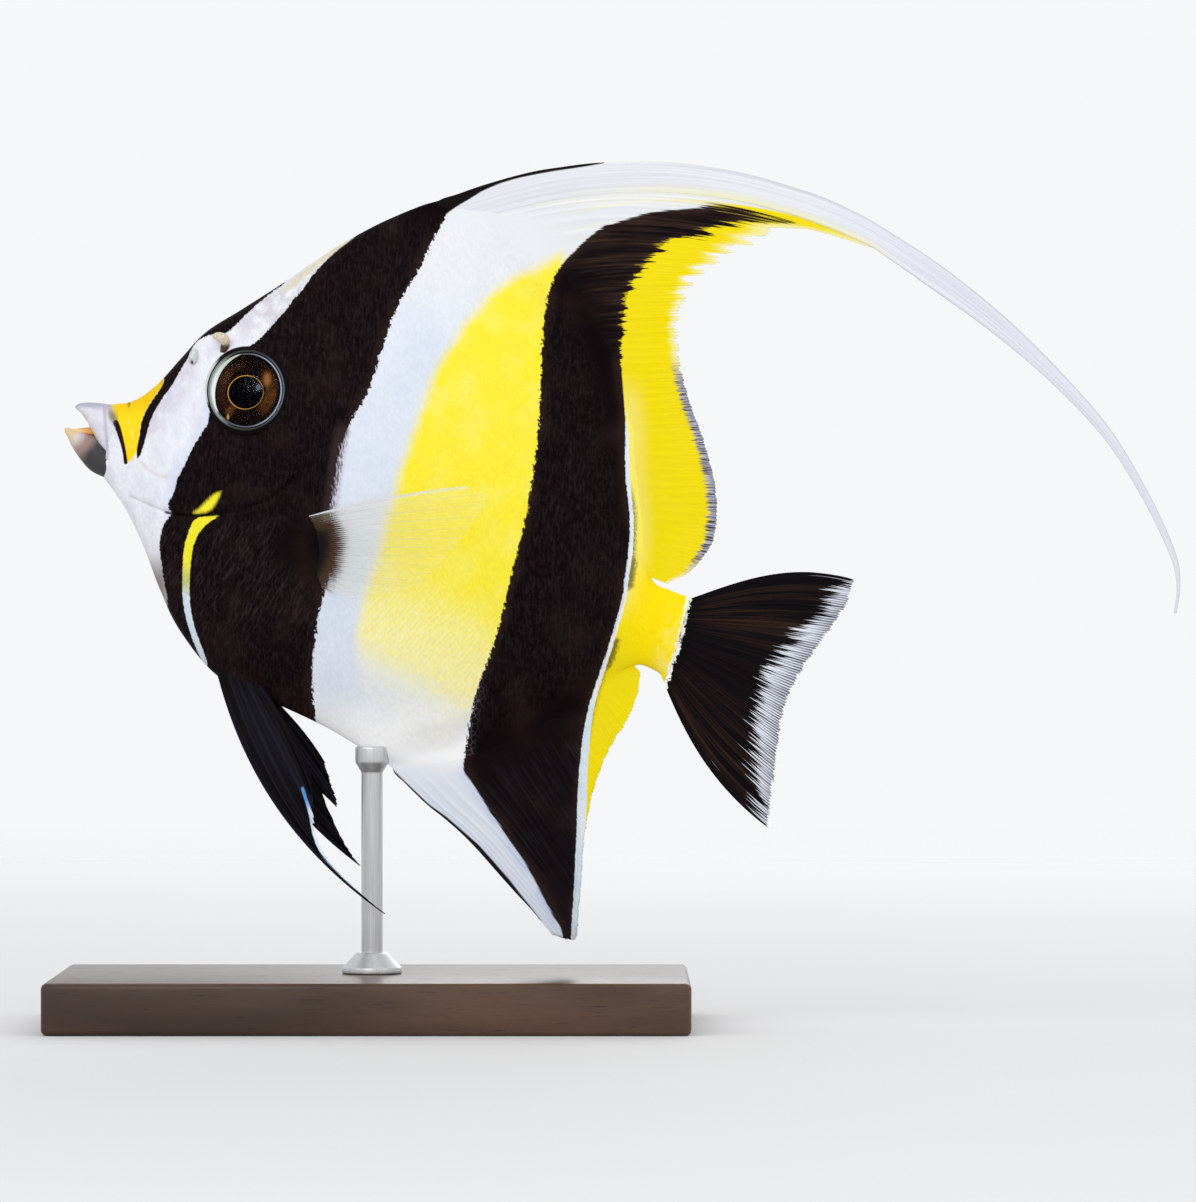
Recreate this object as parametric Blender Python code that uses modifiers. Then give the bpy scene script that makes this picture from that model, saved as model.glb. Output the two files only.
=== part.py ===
"""Moorish idol: a life-size display model of the reef fish, head a little up, on a plain stand.

Frame, in metres: +X runs from the snout to the tail, +Z is up, and the left flank faces -Y.
The origin is the middle of the base's underside, below the rod. The tables are in millimetres.
"""

import math

import bmesh
import bpy
from mathutils import Matrix, Vector
from mathutils.bvhtree import BVHTree

MM = 0.001
GAP = 0.3
SIDES = (("l", -1), ("r", 1))

# Body sections from the jaw root to the tail: place along the body, back point x, z, belly point
# x, z, half width, and the narrowing to the ridges (0.5 is an ellipse, 1 is a sharp lens).
SECTIONS = [
    (0, -61.0, 144.7, -62.4, 127.5, 3.5, 0.46),
    (1, -55.6, 145.6, -59.8, 124.0, 4.3, 0.46),
    (2, -50.2, 149.3, -56.6, 118.8, 5.4, 0.46),
    (3, -44.8, 155.2, -53.0, 111.0, 6.9, 0.42),
    (4, -38.6, 161.7, -49.6, 102.0, 8.4, 0.38),
    (5, -30.4, 166.9, -44.8, 92.0, 9.7, 0.38),
    (6, -20.4, 173.3, -36.0, 81.4, 10.9, 0.44),
    (7, -8.4, 181.4, -24.2, 75.8, 11.9, 0.56),
    (8, 4.4, 188.2, -10.4, 69.3, 12.4, 0.66),
    (9, 15.9, 192.0, 3.7, 61.4, 12.2, 0.74),
    (10, 27.5, 190.3, 15.9, 60.2, 11.4, 0.80),
    (11, 39.2, 181.3, 28.0, 64.4, 10.2, 0.82),
    (12, 48.5, 167.5, 38.0, 69.5, 8.8, 0.80),
    (13, 55.5, 150.9, 46.7, 74.9, 7.4, 0.76),
    (14, 59.5, 133.0, 53.2, 79.1, 6.0, 0.70),
    (15, 61.8, 115.5, 58.3, 82.6, 4.8, 0.62),
    (16, 65.2, 104.2, 62.2, 84.0, 3.9, 0.56),
    (17, 69.6, 101.4, 65.6, 82.9, 3.3, 0.52),
    (18, 74.2, 99.8, 68.8, 80.7, 2.8, 0.50),
]

# Jaw sections in the same form, from the head to the lip.
UPPER_JAW = [
    (0, -61.3, 144.7, -62.4, 132.2, 3.4, 0.46),
    (1, -63.9, 145.1, -64.2, 136.2, 3.2, 0.46),
    (2, -66.6, 145.1, -66.3, 140.0, 2.6, 0.48),
    (3, -68.5, 144.7, -68.2, 143.0, 1.3, 0.50),
]
LOWER_JAW = [
    (0, -62.4, 131.5, -62.8, 127.5, 2.6, 0.46),
    (1, -64.4, 134.5, -64.6, 128.6, 3.0, 0.46),
    (2, -66.0, 137.0, -66.5, 130.5, 2.9, 0.48),
    (3, -68.4, 139.2, -68.6, 132.9, 2.4, 0.48),
    (4, -70.7, 139.6, -70.4, 136.0, 1.5, 0.50),
]

# Where the head ends behind the gill opening, and where the tail stalk begins, as x, z.
HEAD_CUT = [(-62.0, 118.8), (-47.6, 119.7), (-33.1, 119.7), (-24.3, 122.7), (-16.8, 129.5),
            (-13.5, 138.8), (-12.6, 150.5), (-11.7, 164.5), (-9.8, 196.0)]
STALK_CUT = [(71.0, 112.0), (61.4, 97.0), (59.4, 90.0), (60.5, 74.0)]
CUT_DEPTH = 60.0
CUT_STEPS = 24

# The gill cover's outline, which runs past the head's rear edge.
GILL_COVER = [(-40.0, 117.0), (-37.2, 121.6), (-32.0, 127.4), (-28.0, 133.2), (-25.2, 139.0),
              (-20.4, 143.2), (-14.6, 144.4), (-9.0, 143.0), (-9.0, 133.0), (-14.0, 125.0),
              (-24.0, 117.5), (-32.0, 115.5)]
COVER_DEPTH = 0.9
COVER_RISE = 0.3

# Faces along the body and round it, and in each jaw.
RINGS, RIM = 50, 30
JAW_RINGS, JAW_RIM = 8, 16

EYE_X, EYE_Z = -29.3, 148.3
EYE_RADIUS = 8.9
EYE_TALL = 1.05
# The eye button's profile from the cornea's top to the back, as radius share and height.
EYE_PROFILE = [(0.0, 2.5), (0.3, 2.4), (0.55, 2.1), (0.78, 1.55), (0.92, 0.9), (1.0, 0.1),
               (1.0, -3.0), (0.0, -3.0)]
SOCKET_TOP = 8.0

HORN_X, HORN_Z = -34.6, 158.7
HORN_RADIUS = 1.35
# Height above the skin and share of the full radius, from the sunk root to the tip.
HORN_TAPER = [(-1.5, 1.0), (0.4, 1.0), (1.6, 0.82), (2.6, 0.55), (3.4, 0.3)]
HORN_BEND = (-0.06, 0.0, 0.042)
NOSTRIL_X, NOSTRIL_Z = -41.3, 155.8
NOSTRIL_RADIUS = 1.1
NOSTRIL_PIT = 0.6
NOSTRIL_TALL = 1.5

# Fins: share along the root, edge x, z, and the rays' bend at the root and at the edge, in
# degrees from the straight line between them.
DORSAL_ROOT = [(10.2, 191.3), (29.9, 189.6), (41.1, 179.4), (49.2, 166.4), (55.4, 151.0),
               (59.4, 133.0), (61.6, 116.0), (65.4, 104.0)]
STREAMER_SHARE = 0.10
DORSAL_TIP = [(0.0, 116.6, 187.6, 25.0, -28.5), (STREAMER_SHARE, 116.9, 181.3, 22.0, -23.0)]
DORSAL_EDGE = [
    (STREAMER_SHARE, 116.9, 181.3, 22.0, -23.0),
    (0.165, 99.8, 185.7, 20.0, -13.0),
    (0.230, 89.8, 182.2, 18.0, -11.0),
    (0.300, 81.9, 178.0, 14.0, -9.0),
    (0.370, 75.8, 172.4, 10.0, -6.0),
    (0.430, 72.6, 165.9, 7.0, -4.0),
    (0.530, 72.1, 155.1, 3.0, -3.0),
    (0.620, 74.2, 145.8, 0.0, 0.0),
    (0.715, 77.9, 135.3, 0.0, 0.0),
    (0.820, 80.5, 123.6, 0.0, 0.0),
    (0.893, 79.8, 113.1, 0.0, 0.0),
    (0.950, 74.6, 105.9, 0.0, 0.0),
    (1.000, 69.0, 102.9, 0.0, 0.0),
]
DORSAL_SPLIT = 0.370
DORSAL_ROOT_LENGTH = 112.0
ANAL_ROOT = [(3.7, 61.4), (15.9, 60.3), (28.0, 64.6), (38.0, 69.6), (46.7, 74.9), (53.2, 79.1),
             (61.4, 84.0)]
ANAL_EDGE = [
    (0.0, 42.2, 20.8, 2.0, -2.0),
    (0.117, 47.4, 19.8, 2.0, -3.0),
    (0.262, 48.3, 25.7, 3.0, -4.0),
    (0.381, 49.0, 33.8, 3.0, -4.0),
    (0.500, 49.7, 43.6, 2.0, -2.0),
    (0.602, 51.3, 52.5, 0.0, 0.0),
    (0.700, 53.9, 60.7, 0.0, 0.0),
    (0.798, 56.9, 66.5, 0.0, 0.0),
    (0.884, 60.4, 72.3, 0.0, 0.0),
    (0.950, 62.3, 78.1, 0.0, 0.0),
    (1.000, 62.8, 82.0, 0.0, 0.0),
]
TAIL_ROOT = [(72.4, 98.8), (69.9, 90.2), (67.4, 81.6)]
TAIL_EDGE = [
    (0.0, 112.9, 103.8, 12.0, -24.0),
    (0.12, 110.8, 98.0, 6.0, -12.0),
    (0.27, 105.8, 90.2, 2.0, -5.0),
    (0.42, 100.2, 82.2, 0.0, -2.0),
    (0.56, 96.6, 74.0, -1.0, 1.0),
    (0.70, 95.0, 65.4, -3.0, 4.0),
    (0.85, 93.7, 55.2, -8.0, 9.0),
    (1.0, 92.6, 45.8, -14.0, 18.0),
]
PECTORAL_ROOT = [(-17.4, 118.0), (-14.4, 111.0), (-10.6, 102.2)]
PECTORAL_EDGE = [
    (0.0, 22.4, 125.4, 3.0, -5.0),
    (0.10, 27.6, 122.6, 3.0, -4.0),
    (0.25, 24.3, 116.9, 2.0, -2.0),
    (0.42, 20.3, 111.5, 1.0, 0.0),
    (0.58, 16.1, 106.8, -2.0, 2.0),
    (0.74, 11.0, 103.1, -6.0, 6.0),
    (0.88, 4.2, 100.8, -10.0, 10.0),
    (1.0, -4.0, 99.4, -14.0, 14.0),
]
PELVIC_ROOT = [(-36.0, 82.6), (-31.4, 80.6), (-26.4, 78.2)]
PELVIC_EDGES = {
    "l": [
        (0.0, 3.4, 26.4, -21.0, 21.0),
        (0.14, -3.4, 32.0, -14.0, 17.0),
        (0.28, -9.6, 38.4, -10.0, 12.0),
        (0.42, -12.7, 44.4, -5.0, 7.0),
        (0.56, -13.2, 48.8, 0.0, 2.0),
        (0.78, -13.5, 53.0, 6.0, -8.0),
        (1.0, -13.9, 57.4, 12.0, -20.0),
    ],
    "r": [
        (0.0, -3.0, 36.7, -16.0, 18.0),
        (0.15, -5.4, 40.0, -12.0, 13.0),
        (0.30, -8.0, 44.4, -8.0, 8.0),
        (0.42, -10.6, 51.2, -4.0, 4.0),
        (0.54, -8.4, 51.0, 0.0, 0.0),
        (0.76, -9.4, 56.0, 2.0, -4.0),
        (1.0, -11.0, 60.6, 6.0, -12.0),
    ],
}
PECTORAL_SUNK = 1.0
PECTORAL_SPREAD, PECTORAL_CURVE = 0.38, 0.003
PELVIC_OUT = 1.7
PELVIC_SPREAD = 0.13

# The long streamer: place along it, upper edge x, z and lower edge x, z.
STREAMER = [
    (0, 116.6, 187.6, 116.9, 181.3),
    (1, 132.1, 177.6, 131.0, 171.4),
    (2, 147.6, 165.2, 144.8, 161.4),
    (3, 161.4, 151.6, 158.6, 149.7),
    (4, 172.8, 138.2, 170.9, 136.6),
    (5, 181.7, 123.0, 180.1, 122.1),
    (6, 187.5, 110.0, 186.2, 109.3),
    (7, 188.6, 102.4, 187.7, 102.4),
    (8, 187.7, 96.0, 187.1, 96.1),
]
STREAMER_LENGTHS = [(0.0, 2.4), (2.4, 4.9), (4.9, 8.0)]
STREAMER_STEP = 19.0
STREAMER_RIDGE = 0.6
STREAMER_ROWS, STREAMER_COLUMNS = 12, 4

# A ray's two handles, as shares of the straight line from its root to its tip.
LEAVE, ARRIVE = 0.31, 0.41
ROOT_DEPTH = 2.0
BLADE = 0.6
RAY_RIDGE = 1.15
ROOT_BLADE = 2.2
NOTCH = 1.1

BASE_LENGTH, BASE_WIDTH, BASE_HEIGHT = 148.0, 84.0, 12.0
BASE_BEVEL = 1.6
ROD_RADIUS = 2.5
SADDLE_RADIUS = 4.0
SADDLE_HEIGHT, SADDLE_SIDE = 7.0, 4.2
BELLY_OVER_ROD = 63.2
SADDLE_GRIP = 2.6
COLLAR_RADIUS, COLLAR_HEIGHT = 7.0, 5.0
COLLAR_WALL, COLLAR_FOOT = 1.0, 1.6

FINISHES = {
    "white_skin": ((0.84, 0.86, 0.93), 0.42, 0.0),
    "black_skin": ((0.020, 0.012, 0.010), 0.45, 0.0),
    "yellow_skin": ((0.93, 0.80, 0.05), 0.42, 0.0),
    "lip": ((0.70, 0.66, 0.70), 0.40, 0.0),
    "horn": ((0.62, 0.55, 0.47), 0.50, 0.0),
    "eye": ((0.09, 0.035, 0.012), 0.08, 0.0),
    "clear_fin": ((0.86, 0.86, 0.70), 0.35, 0.0),
    "dark_wood": ((0.045, 0.026, 0.017), 0.38, 0.0),
    "steel": ((0.62, 0.62, 0.63), 0.28, 1.0),
}


def clear_scene():
    for obj in list(bpy.data.objects):
        bpy.data.objects.remove(obj, do_unlink=True)


def new_collection(name):
    made = bpy.data.collections.new(name)
    bpy.context.scene.collection.children.link(made)
    return made


def finish(name):
    """The material of that name, made on its first use."""
    if name in bpy.data.materials:
        return bpy.data.materials[name]
    colour, roughness, metallic = FINISHES[name]
    material = bpy.data.materials.new(name)
    material.use_nodes = True
    shader = material.node_tree.nodes["Principled BSDF"]
    shader.inputs["Base Color"].default_value = (*colour, 1.0)
    shader.inputs["Roughness"].default_value = roughness
    shader.inputs["Metallic"].default_value = metallic
    return material


def point(x, y, z):
    return Vector((x, y, z)) * MM


def along(rows, key):
    """The numbers of a table at key, its first column, on a smooth curve through its rows."""
    last = len(rows) - 2
    i = next((n for n in range(last) if key < rows[n + 1][0]), last)
    before, low, high, after = rows[max(i - 1, 0)], rows[i], rows[i + 1], rows[min(i + 2, last + 1)]
    span = high[0] - low[0]
    s = min(max((key - low[0]) / span, 0.0), 1.0)
    values = []
    for a, b, c, d in zip(before[1:], low[1:], high[1:], after[1:]):
        leave = (c - a) / (high[0] - before[0]) * span
        arrive = (d - b) / (after[0] - low[0]) * span
        values.append(
            b * (1 + 2 * s) * (1 - s) ** 2
            + leave * s * (1 - s) ** 2
            + c * s * s * (3 - 2 * s)
            - arrive * s * s * (1 - s)
        )
    return values


def by_length(points):
    """A table of the points keyed by their share of the line's length."""
    far = [0.0]
    for a, b in zip(points, points[1:]):
        far.append(far[-1] + math.dist(a, b))
    return [(f / far[-1], *p) for f, p in zip(far, points)]


def new_object(name, mesh_maker, collection, material=None):
    """An object whose mesh mesh_maker(bm) fills in."""
    bm = bmesh.new()
    mesh_maker(bm)
    mesh = bpy.data.meshes.new(name)
    bm.to_mesh(mesh)
    bm.free()
    obj = bpy.data.objects.new(name, mesh)
    collection.objects.link(obj)
    if material:
        mesh.materials.append(finish(material))
    return obj


def loft(name, rows, rings, sides, grow, collection):
    """A closed body through a table of sections: a sphere whose rings take the sections' shape."""

    def shape(bm):
        bmesh.ops.create_uvsphere(bm, u_segments=sides, v_segments=rings + 1, radius=1.0)
        for vertex in bm.verts:
            ring = round(math.acos(max(-1.0, min(1.0, vertex.co.z))) / math.pi * (rings + 1))
            share = min(max(ring - 1, 0), rings - 1) / (rings - 1)
            section = along(rows, share * rows[-1][0])
            on_axis = ring in (0, rings + 1)
            turn = math.atan2(vertex.co.y, vertex.co.x)
            vertex.co = section_point(section, turn, 0.0 if on_axis else 1.0, grow)
        bm.normal_update()
        bmesh.ops.recalc_face_normals(bm, faces=bm.faces)

    return new_object(name, shape, collection)


def lengthened(rows, extra):
    """The table of sections with its first and last section moved outwards."""
    longer = list(rows)
    for end, beside in ((0, 1), (-1, -2)):
        row, near = rows[end], rows[beside]
        away = Vector((row[1] + row[3] - near[1] - near[3], row[2] + row[4] - near[2] - near[4]))
        away = away.normalized() * extra
        longer[end] = (row[0], row[1] + away.x, row[2] + away.y, row[3] + away.x,
                       row[4] + away.y, *row[5:])
    return longer


def section_point(section, turn, reach, grow):
    """A point of a section's rim: turn 0 is the left flank's middle and a quarter turn the back."""
    back, belly = Vector(section[0:2]), Vector(section[2:4])
    width, narrowing = section[4:6]
    middle, half = (back + belly) / 2, (back - belly) / 2
    half *= (half.length + grow) / half.length
    level = math.sin(turn) * reach
    side = math.copysign(abs(math.cos(turn)) ** (2 * narrowing), math.cos(turn)) * reach
    where = middle + half * level
    return point(where.x, -side * (width + grow), where.y)


def sheet(name, surface, across, length, collection):
    """A thin solid on surface(s, t), which gives a point and the thickness there."""
    weights = []

    def shape(bm):
        bmesh.ops.create_grid(bm, x_segments=across, y_segments=length, size=0.5)
        bm.verts.ensure_lookup_table()
        for vertex in bm.verts:
            s, t = vertex.co.x + 0.5, vertex.co.y + 0.5
            vertex.co, thick = surface(s, t)
            weights.append(thick / ROOT_BLADE)
        bmesh.ops.triangulate(bm, faces=bm.faces)

    obj = new_object(name, shape, collection)
    group = obj.vertex_groups.new(name="thickness")
    for index, weight in enumerate(weights):
        group.add([index], weight, "REPLACE")
    solid = obj.modifiers.new("blade", "SOLIDIFY")
    solid.thickness = ROOT_BLADE * MM
    solid.offset = 0.0
    solid.vertex_group = group.name
    return baked(obj)


def baked(obj):
    """The object with its modifiers applied."""
    graph = bpy.context.evaluated_depsgraph_get()
    mesh = bpy.data.meshes.new_from_object(obj.evaluated_get(graph))
    obj.modifiers.clear()
    old, obj.data = obj.data, mesh
    bpy.data.meshes.remove(old)
    return obj


def islands(bm):
    """The separate surfaces of a mesh, as lists of faces."""
    left, found = set(bm.faces), []
    while left:
        front, island = [left.pop()], []
        while front:
            face = front.pop()
            island.append(face)
            for edge in face.edges:
                for other in edge.link_faces:
                    if other in left:
                        left.discard(other)
                        front.append(other)
        found.append(island)
    return found


def volume_of(faces):
    total = 0.0
    for face in faces:
        corners = [loop.vert.co for loop in face.loops]
        for b, c in zip(corners[1:], corners[2:]):
            total += corners[0].dot(b.cross(c)) / 6
    return total


def keep_largest(obj, keep=1):
    """Leaves the object's largest closed surfaces."""
    bm = bmesh.new()
    bm.from_mesh(obj.data)
    ranked = sorted(islands(bm), key=volume_of, reverse=True)
    loose = [face for island in ranked[keep:] for face in island]
    bmesh.ops.delete(bm, geom=loose, context="FACES")
    bm.to_mesh(obj.data)
    bm.free()
    return obj


def combine(obj, other, operation, keep=1):
    """Applies a Boolean with the exact solver."""
    boolean = obj.modifiers.new(operation.lower(), "BOOLEAN")
    boolean.operation = operation
    boolean.solver = "EXACT"
    boolean.object = other
    baked(obj)
    return keep_largest(obj, keep)


def separated(obj, names, order, collection):
    """New objects from the object's separate surfaces, the largest ones, sorted by order."""
    bm = bmesh.new()
    bm.from_mesh(obj.data)
    found = sorted(islands(bm), key=volume_of, reverse=True)[: len(names)]
    centres = [sum((f.calc_center_median() for f in part), Vector()) / len(part) for part in found]
    ranked = sorted(range(len(found)), key=lambda n: order(centres[n]))
    faces = [[face.index for face in found[n]] for n in ranked]
    bm.free()
    made = []
    for name, kept in zip(names, faces):
        kept = set(kept)

        def shape(copy):
            copy.from_mesh(obj.data)
            copy.faces.ensure_lookup_table()
            extra = [face for face in copy.faces if face.index not in kept]
            bmesh.ops.delete(copy, geom=extra, context="FACES")

        made.append(new_object(name, shape, collection))
    bpy.data.objects.remove(obj, do_unlink=True)
    return made


def painted(obj, material):
    obj.data.materials.clear()
    obj.data.materials.append(finish(material))
    obj.data.shade_smooth()
    obj.data.set_sharp_from_angle(angle=math.radians(35))
    return obj


def slit(name, line, cutters):
    """A thin cutter that follows a line seen from the side, right across the body."""
    table = by_length(line)

    def surface(s, t):
        x, z = along(table, s)
        return point(x, (t - 0.5) * CUT_DEPTH, z), GAP

    return sheet(name, surface, CUT_STEPS, 1, cutters)


def prism(name, outline, grow, cutters):
    """An upright block with that outline seen from the side, right across the body."""
    centre = sum((Vector(p) for p in outline), Vector((0, 0))) / len(outline)

    def shape(bm):
        made = bmesh.ops.create_circle(bm, segments=len(outline), radius=1.0, cap_ends=True)
        for vertex, place in zip(made["verts"], outline):
            away = Vector(place) - centre
            x, z = Vector(place) + away.normalized() * grow
            vertex.co = point(x, -CUT_DEPTH / 2, z)
        raised = bmesh.ops.extrude_face_region(bm, geom=list(bm.faces))
        top = [v for v in raised["geom"] if isinstance(v, bmesh.types.BMVert)]
        bmesh.ops.translate(bm, verts=top, vec=point(0, CUT_DEPTH, 0))
        bm.normal_update()
        bmesh.ops.recalc_face_normals(bm, faces=bm.faces)

    return new_object(name, shape, cutters)


def turned(name, profile, steps, collection, material=None):
    """A solid of revolution about +Z from a profile of radius and height, top to bottom."""

    def shape(bm):
        corners = [bm.verts.new(point(r, 0, h)) for r, h in profile]
        for a, b in zip(corners, corners[1:]):
            bm.edges.new((a, b))

    obj = new_object(name, shape, collection, material)
    screw = obj.modifiers.new("turn", "SCREW")
    screw.steps = screw.render_steps = steps
    screw.use_merge_vertices = True
    screw.merge_threshold = 0.00001
    return obj


def body_surface():
    """The bare body as a search tree, for placing what grows on it."""
    skin = loft("skin_guide", SECTIONS, 2 * RINGS, 2 * RIM, 0.0, bpy.context.scene.collection)
    bm = bmesh.new()
    bm.from_mesh(skin.data)
    tree = BVHTree.FromBMesh(bm)
    bm.free()
    bpy.data.objects.remove(skin, do_unlink=True)
    return tree


def on_flank(tree, x, z, side):
    """The point and outward direction of the skin at x, z, on the left (-1) or right (1)."""
    place, normal, _, _ = tree.ray_cast(point(x, side * CUT_DEPTH, z), Vector((0, -side, 0)))
    return place, normal


def facing(place, normal):
    """A frame at place whose +Z is normal and whose +Y stays as upright as it can."""
    forward = normal.normalized()
    across = Vector((0, 0, 1)).cross(forward).normalized()
    up = forward.cross(across)
    turn = Matrix((across, up, forward)).transposed().to_4x4()
    return Matrix.Translation(place) @ turn


def place_mesh(obj, matrix):
    """Moves the object by moving its mesh, after its modifiers are applied."""
    baked(obj)
    obj.data.transform(matrix)
    return obj


def ray_point(root, edge_row, t):
    """A point of a fin ray, seen from the side: t runs from 0 at the root to 1 at the edge."""
    x, z, root_bend, edge_bend = edge_row
    start, end = Vector(root), Vector((x, z))
    chord = end - start
    leave = Matrix.Rotation(math.radians(root_bend), 2) @ chord * LEAVE
    arrive = Matrix.Rotation(math.radians(edge_bend), 2) @ chord * ARRIVE
    p1, p2 = start + leave, end - arrive
    left = 1 - t
    return start * left**3 + p1 * 3 * left**2 * t + p2 * 3 * left * t**2 + end * t**3


def blade_thickness(s, t, rays, tip=BLADE):
    """Thickness at t along a ray: ridges on the rays, thin skin between, thick at the root."""
    on_ray = 0.5 + 0.5 * math.cos(2 * math.pi * s * rays)
    ridge = BLADE + (RAY_RIDGE - BLADE) * on_ray * (1 - t) ** 0.5
    root = (ROOT_BLADE - BLADE) * max(0.0, 1 - t * 5) ** 2
    return max(ridge + root, tip)


def notch_of(s, rays):
    """1 between two rays and 0 on a ray."""
    return 0.5 - 0.5 * math.cos(2 * math.pi * s * rays)


def fin(name, root, edge_at, shares, rays, length, parts, colour, wall, lean=None, even=0.0):
    """A fin blade between two shares of its root, with a ridge on each ray and an uneven edge.

    edge_at(share) gives the edge row, wall is the body that the sunk root is cut back from,
    lean(away) the sideways place that far out along a ray, and the edge is even before even."""
    root_table = by_length(root)
    first, last = shares

    def surface(s, t):
        share = first + (last - first) * s
        start = along(root_table, share)
        row = edge_at(share)
        reach = math.dist(start, row[:2])
        notch = notch_of(s, rays) * NOTCH if share > even else 0.0
        trim = 1 - notch / max(reach, 4 * NOTCH)
        x, z = ray_point(start, row, t * trim)
        y = lean(math.dist(start, (x, z))) if lean else 0.0
        return point(x, y, z), blade_thickness(s, t, rays)

    blade = sheet(name, surface, 2 * rays, length, parts)
    return painted(combine(blade, wall, "DIFFERENCE"), colour)


def sunk(root, towards, depth):
    """The root line moved into the body."""
    moved = []
    for place in root:
        away = Vector(towards) - Vector(place)
        moved.append(tuple(Vector(place) + away.normalized() * depth))
    return moved


def dorsal_edge(share):
    if share <= STREAMER_SHARE:
        return along(DORSAL_TIP, share)
    return along(DORSAL_EDGE, share)


def make_flesh(parts, cutters):
    """Head, gill covers, trunk and tail stalk, from one body parted by thin cuts."""
    whole = loft("whole", SECTIONS, RINGS, RIM, 0.0, cutters)
    head_slit = slit("head_slit", HEAD_CUT, cutters)
    stalk_slit = slit("stalk_slit", STALK_CUT, cutters)
    combine(whole, head_slit, "DIFFERENCE", keep=2)
    combine(whole, stalk_slit, "DIFFERENCE", keep=3)
    head, trunk, stalk = separated(whole, ["head", "trunk", "tail_stalk"], lambda c: c.x, parts)

    pocket = prism("pocket", GILL_COVER, GAP, cutters)
    core = loft("pocket_core", SECTIONS, RINGS, RIM, -COVER_DEPTH - GAP, cutters)
    combine(pocket, core, "DIFFERENCE", keep=2)
    combine(head, pocket, "DIFFERENCE")

    covers = loft("covers", SECTIONS, RINGS, RIM, COVER_RISE, cutters)
    combine(covers, prism("cover_block", GILL_COVER, 0.0, cutters), "INTERSECT")
    core = loft("cover_core", SECTIONS, RINGS, RIM, -COVER_DEPTH, cutters)
    combine(covers, core, "DIFFERENCE", keep=2)
    combine(covers, head_slit, "DIFFERENCE", keep=4)
    front = separated(covers, ["a", "b", "c", "d"], lambda c: c.x, cutters)
    left, right = sorted(front[:2], key=lambda obj: obj.data.vertices[0].co.y)
    for obj, (side, _) in zip((left, right), SIDES):
        obj.name = "gill_cover_" + side
        cutters.objects.unlink(obj)
        parts.objects.link(obj)
        painted(obj, "black_skin")
    return head, trunk, stalk


def make_jaws(parts):
    for name, rows in (("upper_jaw", UPPER_JAW), ("lower_jaw", LOWER_JAW)):
        painted(loft(name, rows, JAW_RINGS, JAW_RIM, 0.0, parts), "lip")


def make_eyes(tree, head, parts, cutters):
    stretch = Matrix.Diagonal((1.0, EYE_TALL, 1.0, 1.0))
    profile = [(r * EYE_RADIUS, h) for r, h in EYE_PROFILE]
    deepest = EYE_PROFILE[-1][1]
    hole = [(0.0, SOCKET_TOP), (EYE_RADIUS + GAP, SOCKET_TOP), (EYE_RADIUS + GAP, deepest - GAP),
            (0.0, deepest - GAP)]
    for side, sign in SIDES:
        frame = facing(*on_flank(tree, EYE_X, EYE_Z, sign)) @ stretch
        painted(place_mesh(turned("eye_" + side, profile, 32, parts), frame), "eye")
        socket = place_mesh(turned("socket_" + side, hole, 32, cutters), frame)
        combine(head, socket, "DIFFERENCE")


def make_nostrils(tree, head, cutters):
    """A short tube in front of each eye, with its pit."""
    for side, sign in SIDES:
        place, normal = on_flank(tree, NOSTRIL_X, NOSTRIL_Z, sign)
        for radius, rise, operation in ((NOSTRIL_RADIUS, 0.0, "UNION"),
                                        (NOSTRIL_PIT, NOSTRIL_RADIUS, "DIFFERENCE")):
            matrix = facing(place + normal * rise * MM, normal)
            matrix = matrix @ Matrix.Diagonal((1.0, NOSTRIL_TALL, 1.0, 1.0))

            def shape(bm, radius=radius, matrix=matrix):
                bmesh.ops.create_uvsphere(bm, u_segments=12, v_segments=8, radius=radius * MM)
                bmesh.ops.transform(bm, matrix=matrix, verts=bm.verts)

            combine(head, new_object("nostril_" + side, shape, cutters), operation)


def make_horns(tree, wall, parts):
    """The small bony horn before each eye: a bent, tapered spike with its root sunk and cut back."""
    for side, sign in SIDES:
        place, normal = on_flank(tree, HORN_X, HORN_Z, sign)
        bend = Vector(HORN_BEND)
        path = [(place + (normal * h + bend * h * h) * MM, r) for h, r in HORN_TAPER]
        curve = bpy.data.curves.new("horn_path", "CURVE")
        curve.dimensions = "3D"
        curve.bevel_depth = HORN_RADIUS * MM
        curve.bevel_resolution = 2
        curve.use_fill_caps = True
        spline = curve.splines.new("POLY")
        spline.points.add(len(path) - 1)
        for node, (where, radius) in zip(spline.points, path):
            node.co = (*where, 1.0)
            node.radius = radius
        guide = bpy.data.objects.new("horn_guide", curve)
        parts.objects.link(guide)
        graph = bpy.context.evaluated_depsgraph_get()
        mesh = bpy.data.meshes.new_from_object(guide.evaluated_get(graph))
        bpy.data.objects.remove(guide, do_unlink=True)

        def shape(bm, mesh=mesh):
            bm.from_mesh(mesh)
            bmesh.ops.remove_doubles(bm, verts=bm.verts, dist=0.00002)

        horn = new_object("brow_horn_" + side, shape, parts)
        painted(combine(horn, wall, "DIFFERENCE"), "horn")


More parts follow.
